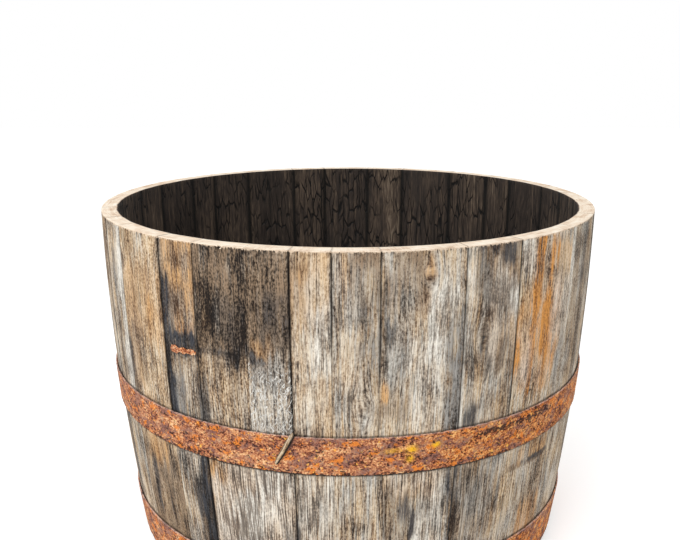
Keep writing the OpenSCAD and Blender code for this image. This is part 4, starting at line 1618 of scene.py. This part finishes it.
def lathe(name, rings, top, bottom, sides):
    """A closed turned shape about Z, with the hammer's facets on its head."""
    work = bmesh.new()
    loops = []
    for ring, (radius, height) in enumerate(rings):
        flat = DENT_DEPTH * max(0, ring - SHANK_RINGS) / len(rings)
        loop = []
        for side in range(sides):
            angle = 2 * math.pi * side / sides
            reach = radius * (1 - flat * math.sin(DENTS * angle + 1.3) ** 2)
            loop.append(work.verts.new((reach * math.cos(angle), reach * math.sin(angle), height)))
        loops.append(loop)
    pairs = [(side, (side + 1) % sides) for side in range(sides)]
    for low, high in zip(loops, loops[1:]):
        for side, after in pairs:
            work.faces.new((low[side], low[after], high[after], high[side]))
    for loop, height in ((loops[0], bottom), (loops[-1], top)):
        pole = work.verts.new((0, 0, height))
        for side, after in pairs:
            work.faces.new((loop[side], loop[after], pole))
    bmesh.ops.recalc_face_normals(work, faces=work.faces)
    mesh = bpy.data.meshes.new(name)
    work.to_mesh(mesh)
    work.free()
    return add_piece(name, mesh)


# %% The rivet tree
def make_rivet_tree():
    """Stands copies of a rivet at both ends of a lap."""
    tree, given = new_tree("Lap rivets", ("Radius", "Height", "Lean", "Lap middle", "Reach"), "Count")
    points = add_node(tree, "GeometryNodePoints", {"Count": given["Count"]}).outputs[0]
    index = add_node(tree, "GeometryNodeInputIndex").outputs[0]
    side = calc(tree, "MULTIPLY_ADD", index, 2.0, -1.0)
    angle = calc(tree, "MULTIPLY_ADD", side, given["Reach"], given["Lap middle"])
    placed = place_round_axis(tree, points, angle, given["Radius"], given["Height"])
    tilt = plus(tree, given["Lean"], math.pi / 2)
    turn = add_node(tree, "ShaderNodeCombineXYZ", {"Y": tilt, "Z": angle}).outputs[0]
    rotation = add_node(tree, "FunctionNodeEulerToRotation", {"Euler": turn}).outputs[0]
    inputs = {"Points": placed, "Instance": given["Geometry"], "Rotation": rotation}
    copies = add_node(tree, "GeometryNodeInstanceOnPoints", inputs).outputs[0]
    finish_tree(tree, copies, given["Material"])
    return tree


rivet_tree = make_rivet_tree()


def write_strip(mesh, batch):
    """Strip coordinates of a small piece: round the cask, up it, and its own batch."""
    places = read_vertices(mesh)
    run = np.radians(azimuth_of(places)) * RIM_R
    write_vector(mesh, "strip", np.stack([run, places[:, 2], np.full(len(places), batch)], 1))


def make_rivets(name, size, batch):
    """Both rivets of one hoop's lap."""
    top = RIVET_SEAT + RIVET_HEAD_H - 0.00002
    piece = lathe(f"{name}_rivet_pair", rivet_profile(), top, RIVET_FOOT, RIVET_SIDES)
    radius = outer_radius(size["z"])
    inputs = {"Radius": radius, "Height": size["z"], "Lean": lean_at(size["z"]),
              "Lap middle": math.radians(size["lap_azimuth"] - 90),
              "Reach": (LAP_LEN / 2 - RIVET_INSET) / radius, "Count": 2, "Material": hoop_rust}
    bake_tree(piece, rivet_tree, inputs)
    write_strip(piece.data, batch)
    # A faint pale rub over the rivets, through the mask of the hoops' painted highlight.
    write_same(piece.data, {"fresh": 0.0, "amber": 0.0, "pitted": 0.3, "rub_and_highlight": 0.2})
    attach(piece, "root")
    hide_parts(f"{name}_rivet_1", f"{name}_rivet_2")
    return piece


rivets = [make_rivets(name, size, 9.1 + i) for i, (name, size) in enumerate(HOOPS.items())]
print("rivet pairs:", [p.name for p in rivets])

# %% [markdown]
# ## The head
#
# Five boards, dowelled edge to edge, close the cask below. Their outline, their thin tongue and the
# drain holes are already exact in the solids, so each board is a copy of its solid: merged, with its
# joint arrises and the holes' edges eased. The upper face is charred like the inside of the staves,
# and the lower one is plain old oak.

# %% Head boards
BOARD_EASE = 0.0011
BOARD_MERGE = 1e-5
SAME_PLANE = math.radians(1)
SQUARE = math.radians(60)  # two faces that meet more sharply than this make an arris
# Cuts along both joints give the dark beside them corners to fade between.
CUTS = (0.7 * JOINT_REACH, 1.9 * JOINT_REACH)
FACES_DOWN = 0.3
# Where the boards lie in the noises, far from every stave, and the steps from one board to the next
BOARD_PLACE, BOARD_ALONG = 50.0, -2.0
BOARD_STEPS = {"across": 0.41, "into": 2.7, "warmth": -0.05}
BOARDS = ("head_cant_left", "head_quarter_left", "head_middle", "head_quarter_right", "head_cant_right")


def is_square_arris(edge):
    """True for an edge in the upper or lower face where a joint or a hole starts."""
    heights = [vertex.co.z for vertex in edge.verts]
    on_top = all(abs(z - HEAD_Z - HEAD_T) < BOARD_MERGE for z in heights)
    below = all(abs(z - HEAD_Z) < BOARD_MERGE for z in heights)
    return (on_top or below) and len(edge.link_faces) == 2 and edge.calc_face_angle(0) > SQUARE


def board_mesh(name):
    """A copy of a head board's mesh: merged, its arrises eased, and cut beside its joints."""
    mesh = bpy.data.meshes.new(f"oak_{name}")
    work = bmesh.new()
    work.from_mesh(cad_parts[name].data)
    bmesh.ops.remove_doubles(work, verts=work.verts, dist=BOARD_MERGE)
    bmesh.ops.dissolve_limit(work, angle_limit=SAME_PLANE, verts=work.verts, edges=work.edges)
    arrises = [edge for edge in work.edges if is_square_arris(edge)]
    bmesh.ops.bevel(work, geom=arrises, offset=BOARD_EASE, segments=2, profile=0.5, affect="EDGES")
    low, high = min(v.co.x for v in work.verts), max(v.co.x for v in work.verts)
    for inset in CUTS:
        for x in (low + inset, high - inset):
            everything = work.verts[:] + work.edges[:] + work.faces[:]
            bmesh.ops.bisect_plane(work, geom=everything, plane_co=(x, 0, 0), plane_no=(1, 0, 0))
    bmesh.ops.recalc_face_normals(work, faces=work.faces)
    bmesh.ops.triangulate(work, faces=work.faces)
    work.to_mesh(mesh)
    work.free()
    return mesh


def make_board(name, number):
    """One head board with its own grain and finishes."""
    mesh = board_mesh(name)
    piece = add_piece(f"oak_{name}", mesh)
    places = read_vertices(mesh)
    across = places[:, 0] + BOARD_STEPS["across"] * number
    into = np.full(len(places), BOARD_PLACE + BOARD_STEPS["into"] * number)
    write_vector(mesh, "grain", np.stack([across, places[:, 1] + BOARD_ALONG, into], 1))
    write_same(mesh, dict.fromkeys((*STAINS, "fuzz", "depth"), 0.0))
    write_same(mesh, {"tone": -0.14, "relief": 1.0, "warmth": 0.15 + BOARD_STEPS["warmth"] * number})
    edge = np.minimum(places[:, 0] - places[:, 0].min(), places[:, 0].max() - places[:, 0])
    write_float(mesh, "joint", beside(edge, JOINT_REACH))
    mesh.materials.append(charred_oak)
    mesh.materials.append(weathered_oak)
    lower = [1 if p.normal.z < FACES_DOWN else 0 for p in mesh.polygons]
    mesh.polygons.foreach_set("material_index", lower)
    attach(piece, "root")
    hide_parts(name)
    return piece


boards = [make_board(name, i) for i, name in enumerate(BOARDS)]
print("boards:", [(p.name, len(p.data.polygons)) for p in boards])

# %% [markdown]
# ## Dowels
#
# The dowels lie out of sight in the joints, where their solids already have the right shape. They
# keep those, and get a plain pale wood whose grain runs along them.


# %% Dowel finish
def make_dowel_oak():
    """Pale wood with grain along X, the dowels' direction."""
    material, tree, shader = new_material("Dowel oak")
    spot = add_node(tree, "ShaderNodeTexCoord").outputs["Object"]
    x, y, z = add_node(tree, "ShaderNodeSeparateXYZ", {"Vector": spot}).outputs[:]
    lines = noise(tree, (y, x, times(tree, z, 900)), 900, 25, 3)
    value = weigh(tree, 0.5, (lines, 1.6))
    colour = ramp(tree, value, shades((0.0, 120, 92, 62), (0.5, 186, 152, 110), (1.0, 226, 198, 158)))
    finish_shader(tree, shader, colour, 0.8, value, 0.0003)
    return material


dowel_oak = make_dowel_oak()
for name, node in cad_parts.items():
    if name.startswith("head_dowel"):
        node.data.materials.clear()
        node.data.materials.append(dowel_oak)

# %% [markdown]
# ## The splinter
#
# A splinter has come away from the edge of a seam, bends over the hoop's top edge and hangs down
# its face. It is a tapering rod of split wood: rings of points along a bent path, each ring a flat
# oval with ridges that run its whole length, because wood splits along its fibres.

# %% Splinter
SLIVER_W = 0.0070
SLIVER_T = 0.0030
SLIVER_DROP = 0.037
SLIVER_SWING = 0.021
SLIVER_GAP = 0.00008
SLIVER_RINGS = 56
SLIVER_SIDES = 18
WAIST = 0.06  # how much thinner the splinter is at its waists
BLUNT_REACH = 0.45  # shares of its width and of its size by which its ends are rounded
BLUNT_LOSS = 0.85
RIDGE = 0.09
TURNS = 2 * math.pi * np.arange(SLIVER_SIDES) / SLIVER_SIDES


def polar(angle, radius, height):
    """A point from its angle round the cask, its radius and its height."""
    return np.array([radius * math.cos(angle), radius * math.sin(angle), height])


def sliver_path():
    """The splinter's inner line and its size along the way, as (angle, radius, height, share) knots."""
    z_mid = HOOPS["quarter_hoop"]["z"]
    half = HOOPS["quarter_hoop"]["width"] / 2
    face = HOOP_GAP + HOOP_T
    top_r, top_z = hoop_point(z_mid, face, half)
    tip_r, tip_z = hoop_point(z_mid, face, half - SLIVER_DROP)
    start = (SPANS[3][1] + SPANS[4][0]) / 2
    end = start - SLIVER_SWING / tip_r
    root_z = top_z + SLIVER_W / 2 + 0.0005
    return [(start, outer_radius(root_z), root_z, 0.62), (start, top_r, top_z + SLIVER_W / 4, 0.86),
            ((start + end) / 2, (top_r + tip_r) / 2, (top_z + tip_z) / 2, 1.0),
            (end, tip_r, tip_z, 0.66)]


def walk_path():
    """Angle, radius, height and size share at every ring, and how far along the splinter it is."""
    knots = np.array(sliver_path())
    gaps = np.linalg.norm(np.diff([polar(*k[:3]) for k in knots], axis=0), axis=1)
    spread = np.concatenate([[0], np.cumsum(gaps)])
    walk = np.linspace(0, spread[-1], SLIVER_RINGS)
    angle, radius, height, share = [np.interp(walk, spread, knots[:, i]) for i in range(4)]
    share *= 1 - WAIST * np.sin(walk / spread[-1] * 9.0) ** 2
    blunt = np.minimum(walk, spread[-1] - walk) / (BLUNT_REACH * SLIVER_W)
    share *= np.sqrt(1 - BLUNT_LOSS * (1 - np.clip(blunt, 0, 1)) ** 2)
    return angle, radius, height, share, walk


def sliver_points():
    """The points of all rings, and the place of each in the grain."""
    angle, radius, height, share, walk = walk_path()
    middles = [polar(*p) for p in zip(angle, radius + SLIVER_GAP + share * SLIVER_T / 2, height)]
    points = []
    grain = []
    for ring, middle in enumerate(middles):
        out = np.array([math.cos(angle[ring]), math.sin(angle[ring]), 0.0])
        before = middles[max(0, ring - 1)]
        after = middles[min(SLIVER_RINGS - 1, ring + 1)]
        side = np.cross(after - before, out)
        side /= np.linalg.norm(side)
        for step, turn in enumerate(TURNS):
            ridge = 1 - RIDGE * (step % 3 == 1) - 0.02 * math.sin(0.6 * ring * (step % 4))
            across = share[ring] * SLIVER_W / 2 * math.cos(turn) * ridge
            outward = share[ring] * SLIVER_T / 2 * math.sin(turn) * ridge
            points.append(tuple(middle + side * across + out * outward))
            grain.append((0.0022 * turn, walk[ring] - 2.0, 81.0))
    return points, np.array(grain)


def make_sliver():
    """Joins the rings, closes both ends and stores what weathered oak reads."""
    points, grain = sliver_points()
    rows = [range(i, i + SLIVER_SIDES) for i in range(0, len(points), SLIVER_SIDES)]
    faces = [tuple(reversed(rows[0])), tuple(rows[-1])]
    for low, high in zip(rows, rows[1:]):
        for step in range(SLIVER_SIDES):
            after = (step + 1) % SLIVER_SIDES
            faces.append((low[step], low[after], high[after], high[step]))
    mesh = bpy.data.meshes.new("oak_splinter")
    mesh.from_pydata(points, [], faces)
    face_outwards(mesh)
    write_vector(mesh, "grain", grain)
    shaded_side = np.tile(np.cos(TURNS), SLIVER_RINGS)
    none = dict.fromkeys((*STAINS, "fuzz", "depth"), 0.0)
    del none["gap"]
    write_same(mesh, none | {"umber": 0.12, "tone": 0.0, "warmth": 0.3, "relief": 0.9})
    # Painted shade: the splinter's right flank, turned away from the lamp, is coloured near black.
    write_float(mesh, "gap", np.clip(-2.5 * shaded_side - 0.3, 0, 1))
    mesh.materials.append(weathered_oak)
    return add_piece("oak_splinter", mesh)


sliver = make_sliver()
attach(sliver, "root")
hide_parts("seam_sliver")
print("splinter:", [round(1000 * v, 1) for v in sliver.dimensions], "mm")

# %% [markdown]
# ## The scrap of the lost hoop
#
# A third hoop once went round the bilge. It has rusted away to a dark line on the wood and one crust
# of orange scale. The crust is a small sheet with a ragged outline, thick and thin by turns, so it
# is made as a grid whose top and bottom edges follow the outline and whose face rises and falls.

# %% Crust
SCRAP_Z = 0.341
SCRAP_LEN = 0.040
SCRAP_H = 0.0115
SCRAP_T = 0.0014
SCRAP_INSET = 0.002
SCRAP_GAP = 0.00008
SCRAP_COLUMNS = 96
SCRAP_ROWS = 22
SCRAP_BITES = 0.09
LUMP_ROWS = 5
LUMP_COLUMNS = 17
LUMP_GRIT = 0.25
THINNEST = 0.12  # shares of the thickness between the lumps and at the border
THIN_BORDER = 0.35
# Upper and lower edge of the ragged outline, as shares of its length and height
SCRAP_TOP = ((0, 0.5), (0.05, 0.86), (0.2, 0.94), (0.36, 0.7), (0.5, 0.9), (0.66, 0.76), (0.84, 0.93),
             (1, 0.7))
SCRAP_LOW = ((0, 0.3), (0.06, 0.05), (0.24, -0.02), (0.38, 0.2), (0.55, 0.08), (0.66, 0.3), (0.86, 0.2),
             (1, 0.4))


def crust_edges(chance, share):
    """Height shares of the ragged lower and upper edge at every column."""
    bites = SCRAP_BITES * chance.random((2, SCRAP_COLUMNS // 3)).repeat(3, axis=1)
    return np.interp(share, *zip(*SCRAP_LOW)) + bites[1], np.interp(share, *zip(*SCRAP_TOP)) - bites[0]


def crust_lumps(chance):
    """How thick the crust is at every column and row: soft lumps with grit on them."""
    coarse = chance.random((LUMP_ROWS, LUMP_COLUMNS))
    rows = np.linspace(0, LUMP_ROWS - 1, SCRAP_ROWS)
    columns = np.linspace(0, LUMP_COLUMNS - 1, SCRAP_COLUMNS)
    wide = np.array([np.interp(columns, np.arange(LUMP_COLUMNS), row) for row in coarse])
    lumps = np.array([np.interp(rows, np.arange(LUMP_ROWS), wide[:, i]) for i in range(SCRAP_COLUMNS)])
    return np.clip(lumps + LUMP_GRIT * (chance.random(lumps.shape) - 0.5), 0, 1)


def crust_points():
    """The points of the crust's face, then those of its back, column by column."""
    chance = np.random.default_rng(41)
    share = np.linspace(0, 1, SCRAP_COLUMNS)
    low, top = crust_edges(chance, share)
    lumps = crust_lumps(chance)
    radius = outer_radius(SCRAP_Z) + SCRAP_GAP
    right = (SPANS[1][1] + SPANS[2][0]) / 2 - SCRAP_INSET / radius
    lean = lean_at(SCRAP_Z)
    points = []
    for thick in (SCRAP_T, 0.0):
        for i in range(SCRAP_COLUMNS):
            angle = right - (1 - share[i]) * SCRAP_LEN / radius
            for j, place in enumerate(np.linspace(0, 1, SCRAP_ROWS)):
                up = (low[i] + (top[i] - low[i]) * place - 0.5) * SCRAP_H
                rim = min(1.0, 6 * place, 6 * (1 - place), 10 * share[i], 10 * (1 - share[i]))
                lump = THINNEST + (1 - THINNEST) * lumps[i][j]
                out = thick * lump * (THIN_BORDER + (1 - THIN_BORDER) * rim)
                reach = radius + out * math.cos(lean) + up * math.sin(lean)
                height = SCRAP_Z - out * math.sin(lean) + up * math.cos(lean)
                points.append(tuple(polar(angle, reach, height)))
    return points


def crust_faces():
    """Squares of the face and the back, and the wall between their borders."""
    place = np.arange(SCRAP_COLUMNS * SCRAP_ROWS).reshape(SCRAP_COLUMNS, SCRAP_ROWS)
    faces = []
    for i in range(SCRAP_COLUMNS - 1):
        for j in range(SCRAP_ROWS - 1):
            corner = [int(k) for k in (place[i, j], place[i + 1, j], place[i + 1, j + 1], place[i, j + 1])]
            faces += [tuple(corner), tuple(place.size + k for k in reversed(corner))]
    border = [*place[:, 0], *place[-1, 1:], *place[-2::-1, -1], *place[0, -2:0:-1]]
    for a, b in zip(border, border[1:] + border[:1]):
        faces.append((int(b), int(a), int(place.size + a), int(place.size + b)))
    return faces


def make_crust():
    """A ragged, lumpy sheet on the stave, closed at its edges."""
    mesh = bpy.data.meshes.new("rust_crust")
    mesh.from_pydata(crust_points(), [], crust_faces())
    face_outwards(mesh)
    write_strip(mesh, 6.6)
    write_same(mesh, dict.fromkeys(("fresh", "amber", "pitted", "rub_and_highlight"), 0.0))
    mesh.materials.append(crust_rust)
    return add_piece("rust_crust", mesh)


crust = make_crust()
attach(crust, "root")
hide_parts("hoop_fragment")
print("crust:", [round(1000 * v, 1) for v in crust.dimensions], "mm")

# %% [markdown]
# ## Floor, light and camera
#
# The photograph is a cut-out on white with soft light from the upper left. The world lights the
# cask evenly and shows plain white to the camera. The floor adds some white of its own for the
# camera only, so the open floor goes white and the shadow at the foot stays. One large lamp on the
# left gives the soft fall of light round the cask.

# %% World and floor
WORLD_LIGHT = 0.80
FLOOR_SIZE = 14.0
FLOOR_GLOW = 0.42
FLOOR_GREY = (0.86, 0.86, 0.86, 1)
WHITE = (1, 1, 1, 1)
# A hair below the foot, so the two faces never lie in one plane
FLOOR_Z = -0.0003


def seen_directly(tree):
    """1 for rays from the camera, from a gloss or through glass."""
    path = add_node(tree, "ShaderNodeLightPath").outputs
    seen = calc(tree, "MAXIMUM", path["Is Camera Ray"], path["Is Glossy Ray"])
    return calc(tree, "MAXIMUM", seen, path["Is Transmission Ray"])


def make_world():
    """Even light, and plain white where it is seen."""
    world = bpy.data.worlds.new("Studio")
    world.use_nodes = True
    tree = world.node_tree
    tree.nodes.clear()
    strength = remap(tree, seen_directly(tree), 0.0, 1.0, WORLD_LIGHT, 1.0, smooth=False)
    back = add_node(tree, "ShaderNodeBackground", {"Color": WHITE, "Strength": strength})
    add_node(tree, "ShaderNodeOutputWorld", {"Surface": back.outputs[0]})
    bpy.context.scene.world = world


def make_floor():
    """A large pale plane that keeps the cask's shadow."""
    mesh = bpy.data.meshes.new("floor")
    half = FLOOR_SIZE / 2
    corners = [(x, y, FLOOR_Z) for x, y in ((-half, -half), (half, -half), (half, half), (-half, half))]
    mesh.from_pydata(corners, [], [(0, 1, 2, 3)])
    floor = add_piece("floor", mesh)
    material, tree, shader = new_material("Pale floor")
    flat = {"Base Color": FLOOR_GREY, "Roughness": 1.0, "Specular IOR Level": 0.0, "Emission Color": WHITE}
    for name, value in flat.items():
        shader.inputs[name].default_value = value
    glow = times(tree, seen_directly(tree), FLOOR_GLOW)
    tree.links.new(glow, shader.inputs["Emission Strength"])
    mesh.materials.append(material)


make_world()
make_floor()

# %% Lamp and camera
LAMP_AT = Vector((-1.7, -2.6, 2.5))
LAMP_AIM = Vector((0, 0, 0.25))
LAMP_POWER = 62.0
LAMP_SIZE = 2.2
CAMERA_AT = Vector((0.0, -1.1417, 0.6594))
CAMERA_DIP = 14.575
CAMERA_LENS = 42.585
CAMERA_SHIFT = -0.01166
SENSOR = 36.0

lamp = bpy.data.lights.new("Key", "AREA")
lamp.energy = LAMP_POWER
lamp.size = LAMP_SIZE
lamp_object = add_piece("Key", lamp)
lamp_object.location = LAMP_AT
lamp_object.rotation_euler = (LAMP_AIM - LAMP_AT).to_track_quat("-Z", "Y").to_euler()

camera = bpy.data.cameras.new("Camera")
camera.lens = CAMERA_LENS
camera.sensor_width = SENSOR
camera.shift_x = CAMERA_SHIFT
camera_object = add_piece("Camera", camera)
camera_object.location = CAMERA_AT
camera_object.rotation_euler = (math.radians(90 - CAMERA_DIP), 0, 0)
bpy.context.scene.camera = camera_object
bpy.context.scene.view_settings.view_transform = "Standard"
